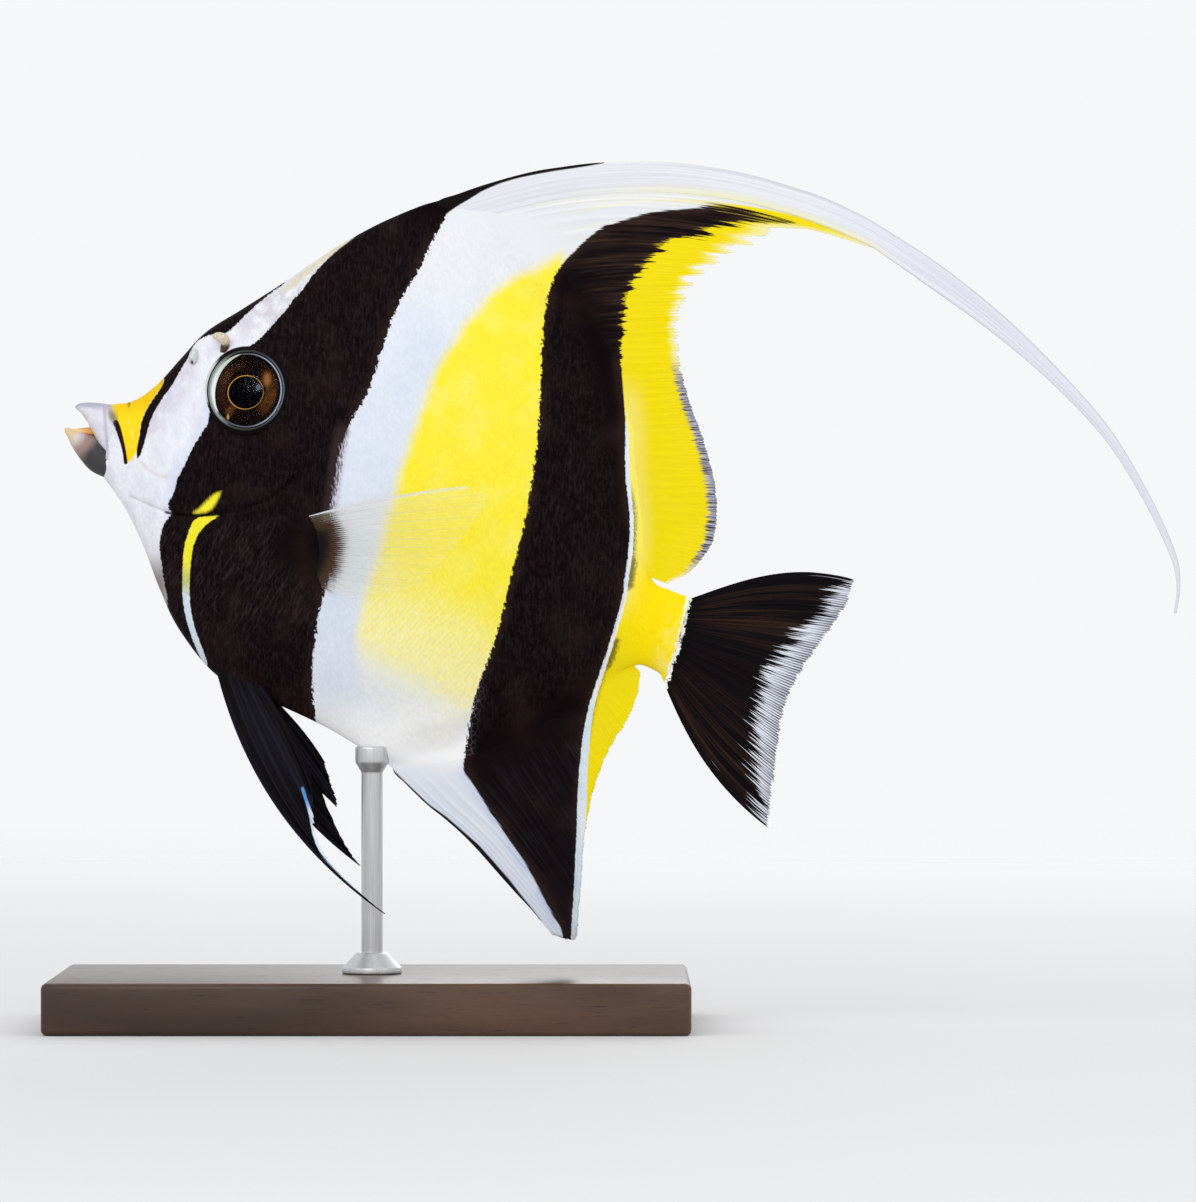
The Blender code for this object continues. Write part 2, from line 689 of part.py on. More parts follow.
def make_median_fins(wall, parts):
    """Dorsal fin in two lobes, anal fin and tail fin, all in the middle plane."""
    inside = (20.0, 125.0)
    dorsal = sunk(DORSAL_ROOT, inside, ROOT_DEPTH)
    half_gap = GAP / 2 / DORSAL_ROOT_LENGTH
    lobes = (("dorsal_fin_front", 0.0, DORSAL_SPLIT - half_gap, 10, 12, "white_skin"),
             ("dorsal_fin_rear", DORSAL_SPLIT + half_gap, 1.0, 19, 5, "yellow_skin"))
    for name, first, last, rays, length, colour in lobes:
        fin(name, dorsal, dorsal_edge, (first, last), rays, length, parts, colour, wall,
            even=STREAMER_SHARE)
    anal = sunk(ANAL_ROOT, inside, ROOT_DEPTH)
    fin("anal_fin", anal, lambda u: along(ANAL_EDGE, u), (0.0, 1.0), 19, 6, parts,
        "black_skin", wall)
    fin("tail_fin", TAIL_ROOT, lambda u: along(TAIL_EDGE, u), (0.0, 1.0), 17, 6, parts,
        "black_skin", wall)


def make_streamer(parts):
    """The drawn-out dorsal ray, in three lengths that meet end to end."""
    for number, (first, last) in enumerate(STREAMER_LENGTHS, 1):
        first += GAP / STREAMER_STEP

        def surface(s, t, first=first, last=last):
            place = first + (last - first) * s
            upper_x, upper_z, lower_x, lower_z = along(STREAMER, place)
            x = upper_x + (lower_x - upper_x) * t
            z = upper_z + (lower_z - upper_z) * t
            middle = 1 - (2 * t - 1) ** 2
            taper = 1 - place / STREAMER[-1][0]
            return point(x, 0.0, z), BLADE + STREAMER_RIDGE * middle * taper

        blade = sheet(f"streamer_{number}", surface, STREAMER_ROWS, STREAMER_COLUMNS, parts)
        painted(blade, "white_skin")


def make_pectorals(tree, wall, parts):
    for side, sign in SIDES:
        root_skin, _ = on_flank(tree, *PECTORAL_ROOT[1], sign)
        root_y = abs(root_skin.y) / MM

        def lean(away, sign=sign, root_y=root_y):
            out = PECTORAL_SPREAD * away - PECTORAL_CURVE * away * away
            return sign * (root_y - PECTORAL_SUNK + out)

        fin("pectoral_fin_" + side, PECTORAL_ROOT, lambda u: along(PECTORAL_EDGE, u),
            (0.0, 1.0), 14, 6, parts, "clear_fin", wall, lean=lean)


def make_pelvics(wall, parts):
    """The two pelvic fins; the right one is spread wider and swung back, as in the pose."""
    for side, sign in SIDES:
        edge = PELVIC_EDGES[side]

        def lean(away, sign=sign):
            return sign * (PELVIC_OUT + PELVIC_SPREAD * away)

        fin("pelvic_fin_" + side, PELVIC_ROOT, lambda u, edge=edge: along(edge, u), (0.0, 1.0),
            6, 12, parts, "black_skin", wall, lean=lean)


def make_stand(wall, parts):
    """Base, collar and rod; the rod's head is a saddle cut to the belly's keel."""

    def slab(bm):
        bmesh.ops.create_cube(bm, size=1.0)
        bmesh.ops.scale(bm, verts=bm.verts, vec=point(BASE_LENGTH, BASE_WIDTH, BASE_HEIGHT))
        bmesh.ops.translate(bm, verts=bm.verts, vec=point(0, 0, BASE_HEIGHT / 2))

    base = new_object("stand_base", slab, parts, "dark_wood")
    bevel = base.modifiers.new("edge", "BEVEL")
    bevel.width = BASE_BEVEL * MM
    bevel.segments = 2
    floor = BASE_HEIGHT + GAP
    inner = ROD_RADIUS + GAP
    collar = [(inner, floor + COLLAR_HEIGHT), (inner + COLLAR_WALL, floor + COLLAR_HEIGHT),
              (COLLAR_RADIUS, floor + COLLAR_FOOT), (COLLAR_RADIUS, floor), (inner, floor),
              (inner, floor + COLLAR_HEIGHT)]
    turned("stand_collar", collar, 32, parts, "steel")
    top = BELLY_OVER_ROD + SADDLE_GRIP
    shaft = [(0.0, top), (SADDLE_RADIUS, top), (SADDLE_RADIUS, top - SADDLE_SIDE),
             (ROD_RADIUS, top - SADDLE_HEIGHT), (ROD_RADIUS, floor), (0.0, floor)]
    rod = baked(turned("stand_rod", shaft, 24, parts))
    painted(combine(rod, wall, "DIFFERENCE"), "steel")


def main():
    clear_scene()
    parts = new_collection("moorish_idol")
    cutters = new_collection("cutters")
    tree = body_surface()
    wall = loft("wall", lengthened(SECTIONS, GAP), RINGS, RIM, GAP, cutters)
    head, trunk, stalk = make_flesh(parts, cutters)
    make_eyes(tree, head, parts, cutters)
    make_nostrils(tree, head, cutters)
    painted(head, "black_skin")
    painted(trunk, "yellow_skin")
    painted(stalk, "yellow_skin")
    make_jaws(parts)
    make_horns(tree, wall, parts)
    make_median_fins(wall, parts)
    make_streamer(parts)
    make_pectorals(tree, wall, parts)
    make_pelvics(wall, parts)
    make_stand(wall, parts)
    for obj in list(cutters.objects):
        obj.hide_render = True
        obj.display_type = "WIRE"


main()
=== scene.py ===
"""Moorish idol: the finished looks of a life-size display model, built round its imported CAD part.

Frame, in metres: +X runs from the snout to the tail, +Z is up, and the left flank faces -Y.
The tables are in millimetres. Outlines of markings are in the side view from the left.
"""

import math
from functools import partialmethod

import bpy
import numpy as np
from mathutils import Matrix, Vector
from mathutils.bvhtree import BVHTree
from mathutils.kdtree import KDTree


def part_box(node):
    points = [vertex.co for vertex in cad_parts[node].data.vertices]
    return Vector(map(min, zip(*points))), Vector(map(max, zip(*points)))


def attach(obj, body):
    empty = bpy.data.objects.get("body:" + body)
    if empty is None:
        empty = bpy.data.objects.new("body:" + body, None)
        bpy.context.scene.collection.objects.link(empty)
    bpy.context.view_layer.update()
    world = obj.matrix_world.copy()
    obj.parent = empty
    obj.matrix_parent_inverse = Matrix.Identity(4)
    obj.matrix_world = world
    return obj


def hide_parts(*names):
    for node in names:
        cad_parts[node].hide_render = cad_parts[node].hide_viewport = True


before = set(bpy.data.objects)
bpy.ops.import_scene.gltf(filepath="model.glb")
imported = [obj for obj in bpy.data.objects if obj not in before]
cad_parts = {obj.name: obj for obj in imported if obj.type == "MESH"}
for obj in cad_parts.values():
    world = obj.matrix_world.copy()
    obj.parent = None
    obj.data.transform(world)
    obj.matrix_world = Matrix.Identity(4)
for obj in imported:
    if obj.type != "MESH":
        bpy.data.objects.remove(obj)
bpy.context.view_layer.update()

MM = 0.001
# The side view is taken from this far, past this point, so what is nearer looks larger.
EYE_POINT_X, EYE_POINT_Z, EYE_POINT_FAR = 52.72, 98.9, 1600
VIEW_SIZE = 280.4

# Body sections from the jaw root to the tail: place along the body, back point x, z, belly point
# x, z, half width, and the narrowing to the ridges (0.5 is an ellipse, 1 is a sharp lens).
SECTIONS = [
    (0, -61, 144.7, -62.4, 127.5, 3.5, 0.46), (1, -55.6, 145.6, -59.8, 124, 4.3, 0.46),
    (2, -50.2, 149.3, -56.6, 118.8, 5.4, 0.46), (3, -44.8, 155.2, -53, 111, 6.9, 0.42),
    (4, -38.6, 161.7, -49.6, 102, 8.4, 0.38), (5, -30.4, 166.9, -44.8, 92, 9.7, 0.38),
    (6, -20.4, 173.3, -36, 81.4, 10.9, 0.44), (7, -8.4, 181.4, -24.2, 75.8, 11.9, 0.56),
    (8, 4.4, 188.2, -10.4, 69.3, 12.4, 0.66), (9, 15.9, 192, 3.7, 61.4, 12.2, 0.74),
    (10, 27.5, 190.3, 15.9, 60.2, 11.4, 0.8), (11, 39.2, 181.3, 28, 64.4, 10.2, 0.82),
    (12, 48.5, 167.5, 38, 69.5, 8.8, 0.8), (13, 55.5, 150.9, 46.7, 74.9, 7.4, 0.76),
    (14, 59.5, 133, 53.2, 79.1, 6, 0.7), (15, 61.8, 115.5, 58.3, 82.6, 4.8, 0.62),
    (16, 65.2, 104.2, 62.2, 84, 3.9, 0.56), (17, 69.6, 101.4, 65.6, 82.9, 3.3, 0.52),
    (18, 74.2, 99.8, 68.8, 80.7, 2.8, 0.5),
]
# Where the skin's rings lie: share of the rings, place along the body.
SKIN_RINGS = [(0, 0), (0.22, 3.5), (0.5, 8), (0.8, 14), (1, 18)]
SKIN_RING_COUNT, SKIN_SIDES = 238, 400
# How deep a web's bend reaches into the body, as a share of the web's height.
WEB_BEND = 0.8
# The depths below a ridge between which the skin's thickness under a fin comes in.
WEB_THINS = (-2, 11)
# How far the skin runs out past its ridges, as webs that the fins grow from: place along the
# body, millimetres. Then the two ends, in x, between which the body thins towards the fin.
DORSAL_WEB = [
    (8.5, 0), (9, 0.4), (9.6, 2.6), (10.2, 5), (11, 6), (13.5, 6), (14.6, 4.2), (15.2, 2),
    (15.8, 0),
]
ANAL_WEB = [
    (8.8, 0), (9.3, 1.6), (10, 4.6), (11, 5.6), (12.6, 5.6), (13.6, 4.4), (14.4, 2.2), (15.1, 0),
]
DORSAL_THINS, ANAL_THINS = (10, 66), (4, 48)
# Jaw sections in the same form as the body's, from the head to the lip.
UPPER_JAW = [
    (0, -58.8, 144.6, -60.9, 130.6, 3.7, 0.46), (1, -62.1, 144.9, -62.9, 133.4, 3.4, 0.46),
    (2, -64.9, 145.2, -64.8, 137.5, 2.9, 0.47), (3, -67, 145.2, -66.4, 140.6, 2.2, 0.48),
    (4, -68.5, 144.9, -68, 142.8, 1.3, 0.5), (5, -69.2, 144.4, -69.2, 143.9, 0.4, 0.5),
]
LOWER_JAW = [
    (0, -59.5, 134.2, -60.5, 127.3, 2.6, 0.46), (1, -62.3, 136, -62.8, 127.9, 3.1, 0.46),
    (2, -64.8, 137.5, -65.6, 129.3, 3.1, 0.47), (3, -67.5, 138.3, -67.9, 131.8, 2.7, 0.48),
    (4, -69.6, 139, -69.9, 134.8, 2.1, 0.5), (5, -71, 139.4, -71.1, 137.3, 1.2, 0.5),
    (6, -71.7, 139.1, -71.7, 138.4, 0.4, 0.5),
]
JAW_RINGS, JAW_SIDES = 60, 72
# Grooves of the head: marking, depth, width. Swellings: x, z, squeeze along x and z, size, height.
GROOVES = [("gill_edge", 0.5, 0.55), ("cheek_edge", 0.25, 0.7), ("throat_fold", 0.22, 0.6),
           ("lip_line", 0.2, 0.5), ("lip_fold", 0.25, 0.5)]
SWELLINGS = [(-39.5, 157.2, 1, 0.8, 2.6, 0.7), (-15, 110.5, 0.9, 0.45, 3.6, 0.8),
             (-31, 160.2, 0.35, 1, 1.6, 0.35)]
GILL_PLATE_HEIGHT = 0.55

# Where the eye is set on the skin and where its rim's middle shows. Then its radius, how much
# taller than wide it is, and its socket's depth and rim.
EYE_X, EYE_Z = -29.3, 148.3
EYE_SEEN = (-29.05, 147.85)
EYE_RADIUS, EYE_TALL = 8.9, 1.05
SOCKET_DEPTH, SOCKET_RIM = 2.6, 0.55
# Turned shapes of the eye: distance from its middle as a share of its radius, height in mm.
IRIS = [(0, 0.55), (0.2, 0.55), (0.42, 0.62), (0.47, 0.86), (0.65, 0.98), (0.85, 0.75), (0.965, 0.2),
        (0.97, -1.2), (0.6, -1.6), (0, -1.6)]
DOME = [(0, 2.45), (0.25, 2.37), (0.5, 2.12), (0.72, 1.68), (0.88, 1.1), (0.95, 0.6), (0.955, 0.45),
        (0.9, 0.5), (0.7, 1.45), (0.4, 2.05), (0, 2.28)]
EYE_RIM = [(0.935, -1.2), (0.93, 0.2), (0.945, 0.62), (0.985, 0.86), (1.03, 0.72), (1.085, 0.35),
           (1.13, -0.15), (1.15, -0.9), (1, -1.4), (0.935, -1.2)]
# Where the horn and the nostril sit on the skin.
HORN_ROOT, NOSTRIL_PLACE = (-35, 158.4), (-41.3, 155.6)
# The horn's middle line from its root: along x, up, outwards, and the radius there.
HORN = [(0.1, -1.9, -0.3, 0.75), (0.7, -1, 0.7, 0.9), (1.1, 0.1, 1.2, 1), (0.9, 1.1, 1.5, 1.05),
        (0, 1.6, 1.5, 0.95), (-1, 1.8, 1.3, 0.75), (-1.9, 1.7, 1, 0.3)]

# Fins: share along the root, edge x, z, and the rays' bend at the root and at the edge, in
# degrees from the straight line between them.
DORSAL_ROOT = [
    (10.2, 191.3), (29.9, 189.6), (41.1, 179.4), (49.2, 166.4), (55.4, 151), (59.4, 133),
    (61.6, 116), (65.4, 104),
]
STREAMER_SHARE, DORSAL_SPLIT = 0.1, 0.37
DORSAL_TIP = [(0, 116.6, 187.6, 25, -28.5), (STREAMER_SHARE, 116.9, 181.3, 22, -23)]
DORSAL_EDGE = [
    (STREAMER_SHARE, 116.9, 181.3, 22, -23), (0.165, 99.8, 185.7, 20, -13),
    (0.23, 89.8, 182.2, 18, -11), (0.3, 81.9, 178, 14, -9), (0.37, 75.8, 172.4, 10, -6),
    (0.43, 72.6, 165.9, 7, -4), (0.53, 72.1, 155.1, 3, -3), (0.62, 74.2, 145.8, 0, 0),
    (0.715, 77.9, 135.3, 0, 0), (0.82, 80.5, 123.6, 0, 0), (0.893, 79.8, 113.1, 0, 0),
    (0.95, 74.6, 105.9, 0, 0), (1, 69, 102.9, 0, 0),
]
ANAL_ROOT = [
    (3.7, 61.4), (15.9, 60.3), (28, 64.6), (38, 69.6), (46.7, 74.9), (53.2, 79.1), (61.4, 84),
]
ANAL_EDGE = [
    (0, 42.2, 20.8, 2, -2), (0.117, 47.4, 19.8, 2, -3), (0.262, 48.3, 25.7, 3, -4),
    (0.381, 49, 33.8, 3, -4), (0.5, 49.7, 43.6, 2, -2), (0.602, 51.3, 52.5, 0, 0),
    (0.7, 53.9, 60.7, 0, 0), (0.798, 56.9, 66.5, 0, 0), (0.884, 60.4, 72.3, 0, 0),
    (0.95, 62.3, 78.1, 0, 0), (1, 62.8, 82, 0, 0),
]
# Where the first rays really run: the dorsal and the anal fin's leading edges.
DORSAL_LEADING = [
    (15.4, 192.2), (19.9, 193.8), (24.4, 195.4), (28.9, 196.8), (33.9, 198.2), (38.7, 199.3),
    (43.9, 200.1), (51, 201), (56, 201.3), (61.8, 201.42), (67.7, 201.3), (72.5, 200.95),
    (78.9, 200.1), (83.1, 199.4), (89.9, 197.9), (97.4, 195.7), (103.3, 193.8), (109.3, 191.3),
]
ANAL_LEADING = [
    (4.9, 59.5), (7.6, 56.5), (10.2, 53.9), (13.3, 51), (16.5, 48.5), (20.4, 45.1), (24, 41.5),
    (29.5, 35.3), (33.9, 30.4), (37, 27.1), (39.5, 24.05),
]
TAIL_ROOT = [(72.4, 98.8), (69.9, 90.2), (67.4, 81.6)]
TAIL_EDGE = [
    (0, 112.9, 103.8, 12, -24), (0.12, 110.8, 98, 6, -12), (0.27, 105.8, 90.2, 2, -5),
    (0.42, 100.2, 82.2, 0, -2), (0.56, 96.6, 74, -1, 1), (0.7, 95, 65.4, -3, 4),
    (0.85, 93.7, 55.2, -8, 9), (1, 92.6, 45.8, -14, 18),
]
PECTORAL_ROOT = [(-17.4, 118), (-14.4, 111), (-10.6, 102.2)]
PECTORAL_EDGE = [
    (0, 22.4, 125.4, 3, -5), (0.1, 27.6, 122.6, 3, -4), (0.25, 24.3, 116.9, 2, -2),
    (0.42, 20.3, 111.5, 1, 0), (0.58, 16.1, 106.8, -2, 2), (0.74, 11, 103.1, -6, 6),
    (0.88, 4.2, 100.8, -10, 10), (1, -4, 99.4, -14, 14),
]
PELVIC_ROOT = [(-36.6, 84.4), (-31.8, 82.8), (-26.2, 80.2)]
PELVIC_LEFT = [
    (0, 3.4, 26.4, -21, 21), (0.14, -3.4, 32, -14, 17), (0.28, -9.6, 38.4, -10, 12),
    (0.42, -12.7, 44.4, -5, 7), (0.56, -13.2, 48.8, 0, 2), (0.78, -13.5, 53, 6, -8),
    (1, -13.9, 57.4, 5, -12),
]
PELVIC_RIGHT = [
    (0, -3, 36.7, -16, 18), (0.15, -5.4, 40, -12, 13), (0.3, -8.4, 45.6, -8, 8),
    (0.41, -11.3, 53, -4, 4), (0.52, -8.2, 50.4, 0, 0), (0.76, -9.7, 56, 2, -4),
    (1, -11, 60.6, 0, -8),
]
PECTORAL_SUNK, PECTORAL_SPREAD, PECTORAL_CURVE = 1, 0.38, 0.003
PELVIC_OUT, PELVIC_SPREAD = 2.2, 0.13
RAYS = {"streamer": 3, "front": 8, "rear": 19, "anal": 19, "tail": 17, "pectoral": 14, "pelvic": 6}
# The long streamer: place along it, upper edge x, z and lower edge x, z.
STREAMER = [
    (0, 116.6, 187.6, 116.9, 181.3), (1, 132.1, 177.6, 131, 171.4), (2, 147.6, 165.2, 144.8, 161.4),
    (3, 161.4, 151.6, 158.6, 149.7), (4, 172.8, 138.2, 170.9, 136.6), (5, 181.7, 123, 180.1, 122.1),
    (6, 187.5, 110, 186.2, 109.3), (7, 188.55, 102.4, 187.7, 102.4), (8, 187.7, 96, 187.1, 96.1),
]
# Where the streamer leaves the fin, as a share of the strip that is both.
STREAMER_LEAVES = 0.42
# A ray's two handles, as shares of the straight line from its root to its tip.
LEAVE, ARRIVE = 0.31, 0.41
# The distances from the root between which a ray's ridge comes in.
RIDGE_STARTS = (4, 15)
# How far the roots are sunk, and towards which point.
ROOT_DEPTH, INSIDE = 4, (20, 125)

# Markings: closed outlines. The two dark bands are painted over what is under them.
OUTLINES = {
    "front_band": [
        (17, 188.8), (15.6, 185.7), (13.5, 181.8), (11.2, 176.6), (6.5, 168.7), (3, 159.8),
        (-0.5, 148.6), (-4.7, 141.1), (-7.5, 134.1), (-8.6, 127.1), (-9.8, 120.1), (-9.1, 114.3),
        (-8.6, 108.5), (-11, 101.5), (-12.6, 94.5), (-13.5, 87.5), (-14, 80.5), (-13.3, 72.3),
        (-12.5, 66), (-14, 50), (-90, 50), (-90, 205), (14, 205), (18, 194),
    ],
    "rear_band": [
        (44.2, 22), (42.4, 25.3), (40.4, 28.9), (36.2, 36.9), (32.6, 42.2), (28.8, 47.8),
        (25.2, 53.5), (22.9, 57), (21.4, 59.2), (21.7, 62.9), (22.9, 71.2), (25.2, 80.5),
        (28.7, 89.8), (32.2, 103.8), (35.7, 117.8), (38, 131.8), (39.2, 145.8), (39.7, 158.9),
        (40.8, 168.8), (43.3, 175.9), (47.5, 180.8), (51.8, 184.7), (56, 186.8), (63, 189),
        (70.2, 190.1), (76.5, 190.7), (80.4, 191), (86.9, 189.9), (91.4, 188.6), (98.2, 187.1),
        (91.4, 187.2), (85.4, 187.5), (80.7, 186.6), (76.5, 185), (71.9, 184.1), (68.4, 182.4),
        (64.9, 178.5), (62.1, 175.7), (60.2, 172.2), (58.8, 166.8), (58.3, 161), (58.2, 154),
        (58.6, 148), (59.3, 138.8), (59.7, 126.1), (60.6, 118.5), (60.4, 111), (59.5, 104.9),
        (58.7, 98.9), (55.9, 89.1), (53.7, 82.3), (51, 73.3), (49.5, 62), (48.8, 46.9), (48, 33.3),
        (47.3, 20), (47.2, 12), (45.6, 12),
    ],
    "yellow_belt": [
        (45, 179.6), (41.1, 178.7), (36.9, 176.8), (29.9, 172.9), (22.9, 165.9), (18.2, 159.3),
        (13.5, 150.5), (9.3, 138.8), (5.4, 127.1), (3, 117.8), (0.7, 108.5), (-2.3, 99.1),
        (-5.1, 89.8), (-5.2, 80), (-2.5, 70), (5, 62), (15, 60), (22, 65), (26.5, 76), (29.9, 87.5),
        (39.2, 108.5), (46.2, 136.5), (47.4, 164.5),
    ],
    "yellow_rear": [
        (66, 192.3), (72.5, 192.6), (78.9, 192.2), (84, 191.6), (91.4, 190.4), (98.8, 188.8),
        (106.3, 186.9), (112.2, 184.5), (118.2, 181.2), (124.8, 177.3), (123, 171), (104.5, 160),
        (99.8, 134.1), (90.5, 108.5), (79.3, 102.9), (76.3, 101.9), (74.9, 100.1), (73.4, 95.2),
        (72, 90), (70.4, 85.4), (68.5, 80.5), (66, 75.8), (67.2, 61.8), (62.5, 29.2), (47, 12),
        (45, 12), (45.5, 33.3), (46.3, 46.9), (47, 62), (48.5, 73.3), (51, 82.3), (53, 89.1),
        (55.7, 98.9), (56.5, 104.9), (57.4, 111), (57.6, 118.5), (56.7, 126.1), (56.3, 138.8),
        (55.6, 148), (55.2, 154), (55.3, 161), (55.8, 166.8), (57.2, 172.2), (59.5, 176.7),
        (62.5, 181), (66.5, 185), (71, 187), (76, 188.3), (80, 189.5), (79, 191.3), (73, 191.9),
    ],
    "face_pale": [
        (-51.8, 152.3), (-48.3, 147.4), (-46.5, 150), (-44.7, 152.7), (-42.9, 155.7),
        (-42.1, 157.5), (-40.6, 159.6), (-37.9, 160.9), (-34.3, 161.3), (-32.2, 162.8),
        (-29.9, 165.2), (-26.3, 168.5), (-23, 171.2), (-20.6, 172.8), (-18.7, 176.1),
        (-12.1, 180.8), (-6.3, 185.5), (-1.6, 187.3), (-3.7, 184.2), (-6.6, 181.9), (-9.9, 179.2),
        (-13.5, 175.3), (-16.1, 171.7), (-18.2, 169.4), (-19.7, 167.3), (-21.5, 165.2),
        (-24.5, 161.9), (-26.6, 159.7), (-29.4, 157.5), (-31.7, 153.7), (-35, 149.1),
        (-37.1, 145.8), (-37.7, 143.6), (-38.3, 140.2), (-39.4, 138.6), (-40.9, 136.2),
        (-42.5, 133.4), (-43.9, 130.2), (-45.4, 127.3), (-46.3, 124), (-47.6, 121.5),
        (-47.1, 119.9), (-46.7, 119.2), (-48.3, 117.3), (-49, 115.7), (-49.5, 112.9),
        (-49.5, 110.8), (-48.8, 105), (-47.8, 97.7), (-51.8, 96.8), (-57.6, 105), (-64.6, 117.8),
        (-77.4, 122.5), (-77.4, 149.3), (-61.1, 155.1),
    ],
    "brow_stripe": [
        (-50.2, 155.1), (-48.4, 150.5), (-50.2, 147.2), (-52.2, 144.2), (-53.7, 140.9),
        (-54.3, 137.1), (-54.9, 133.8), (-54.6, 132), (-53.8, 133.7), (-52.8, 136.9),
        (-51.8, 140.7), (-50.3, 143.9), (-48.2, 147.2), (-46.1, 150.2), (-44.8, 153.7),
        (-46.7, 157.5),
    ],
    "saddle": [
        (-60, 147), (-60.5, 143.6), (-59.7, 141), (-58.6, 137.4), (-57.9, 132.9), (-56.9, 131.2),
        (-54.9, 133.8), (-54.3, 137.1), (-53.7, 140.9), (-52.2, 144.2), (-50.2, 147.2),
        (-48.4, 150.5), (-49.5, 154), (-54.1, 150.5),
    ],
    "gill_stripe": [
        (-35.6, 118.9), (-38.5, 118.7), (-41.3, 117.9), (-42.9, 114.8), (-43.9, 110.8),
        (-44.2, 105), (-44.1, 99.1), (-43.1, 93.8), (-41.5, 89), (-39.6, 84.8), (-38.4, 83.5),
        (-38.9, 86), (-40.6, 90.5), (-41.9, 94.8), (-42.5, 99.1), (-42.5, 105), (-41.9, 110.8),
        (-40.5, 114.5), (-38.5, 116.9),
    ],
    "gill_wedge": [
        (-33.4, 126.2), (-35.4, 125), (-37.6, 123.1), (-40.2, 120.6), (-41.7, 119.3),
        (-39.6, 119.3), (-38, 119.9), (-36.8, 121.2), (-35.6, 123.2),
    ],
    "gill_plate": [
        (-41, 119.6), (-37.2, 122.2), (-32, 127.4), (-28, 133.2), (-25.2, 139), (-20.4, 143.2),
        (-15.6, 144.2), (-13.3, 141.5), (-13.5, 136.8), (-16.8, 129.5), (-20.5, 125.5),
        (-24.3, 122.7), (-28.5, 121), (-35.9, 119.1),
    ],
    "tail_dark": [
        (64.9, 99.1), (71.9, 113.1), (90.5, 108.5), (112.1, 104.4), (108.6, 101.6), (105.9, 99.3),
        (105, 97.2), (102.6, 94.5), (100.8, 91.9), (98, 89.8), (96.6, 87.5), (94.7, 85.4),
        (93.2, 83.4), (92, 80.9), (90.7, 76.7), (90.2, 74), (89.7, 71.2), (89.3, 67.9), (89, 63.8),
        (89.3, 61.6), (89.7, 57.4), (89.5, 53.7), (89.7, 50.9), (92, 44.8), (85.8, 45.5),
        (74.2, 61.8), (62.5, 75.8),
    ],
    "pectoral_dark": [
        (-23.8, 115.5), (-20.3, 118.3), (-15.6, 118.7), (-11.7, 118.3), (-8.9, 117.6),
        (-7.5, 115.5), (-7, 112), (-7.5, 108.9), (-8.4, 106.1), (-9.6, 103.8), (-11.7, 101.5),
        (-16.8, 100.1), (-23.8, 101.5),
    ],
    "dorsal_dark": [
        (15, 187), (17, 188.8), (19.9, 191), (23.2, 192.9), (25.3, 194.3), (27.9, 195.5),
        (30.3, 196.4), (33.9, 197.5), (38.7, 198.5), (41.5, 199), (46.3, 199.7), (49.7, 200.2),
        (54.5, 201.1), (54, 206), (35, 206), (14, 199), (9, 192),
    ],
    "anal_dark": [
        (4.6, 60), (7.8, 56.8), (10.5, 54.2), (13.5, 51.4), (17.3, 48.7), (20.5, 45.9), (25, 42),
        (27.2, 39.6), (29.5, 36.9), (32.1, 34), (34.8, 30.4), (37, 27.6), (39.8, 23.9), (37, 22),
        (28, 31), (18, 42), (10, 49), (2, 58),
    ],
}
# Markings: lines.
LINES = {
    "pale_line": [
        (58.3, 151), (58.8, 145), (59.4, 138.8), (59.5, 132), (59.8, 126.1), (60.6, 118.5),
        (60.4, 111), (59.5, 104.9), (58.7, 98.9), (55.9, 89.1), (53.7, 82.3), (51, 73.3),
        (49.5, 62), (48.8, 46.9), (48.2, 33.3), (47.4, 20),
    ],
    "tail_line": [
        (74.9, 102.2), (74, 99.6), (73, 95.1), (71.9, 90.2), (70.4, 85.3), (68.7, 80.5),
        (67.7, 78.1),
    ],
    "lip_line": [(-59.7, 140.4), (-59, 138.4), (-58.3, 135.9), (-57.75, 133.5), (-57.45, 131.2)],
    "gill_edge": [
        (-48.1, 119.6), (-44.8, 119), (-40.1, 118.9), (-35.9, 119.1), (-32.7, 119.8), (-28.5, 121),
        (-24.3, 122.7), (-20.5, 125.5), (-17.7, 128.3), (-16.1, 130.4),
    ],
    "cheek_edge": [
        (-28, 132), (-29.4, 129.7), (-31.5, 127.8), (-33.6, 126.2), (-35.7, 124.9), (-38.3, 124.3),
    ],
    "cheek_fold": [(-53.9, 131.5), (-52.4, 129.8), (-50.6, 128.6), (-48, 127.8)],
    "throat_fold": [(-56.4, 123.4), (-53.7, 122.2), (-50.9, 121), (-48.1, 119.8)],
    "brow_cream": [
        (-20, 171.6), (-17.2, 174), (-13.4, 177), (-9.6, 179.9), (-6.4, 182.4), (-3, 184.6),
    ],
    "lip_fold": [(-62.5, 144.6), (-62.3, 142), (-62.1, 138.5), (-61.7, 135), (-61.9, 132)],
    "lip_edge": [(-69.1, 143.9), (-66.9, 140.6), (-64.9, 137.4), (-63.2, 134), (-61.9, 131.6)],
    "upper_thread": [(41.5, 188.6), (47.5, 189.8), (53.4, 190.8), (62.9, 192.2), (70, 192.5)],
    "lower_thread": [(45.5, 184.6), (50, 186), (53.4, 186.9), (58.2, 187.6), (61.7, 187.9)],
    "fuzz": [(-7, 138.4), (-7.9, 134), (-8.4, 130), (-9, 125.5), (-9.7, 120.5), (-9.4, 116.5)],
    "pelvic_streak": [
        (-16.2, 55.2), (-15.2, 52), (-14, 48.2), (-12.9, 43.6), (-10.9, 39.4), (-7.4, 35.4),
        (-3.6, 31.9), (0.6, 28.6), (3.6, 26.4),
    ],
    "dorsal_root": DORSAL_ROOT,
    "anal_root": ANAL_ROOT,
}
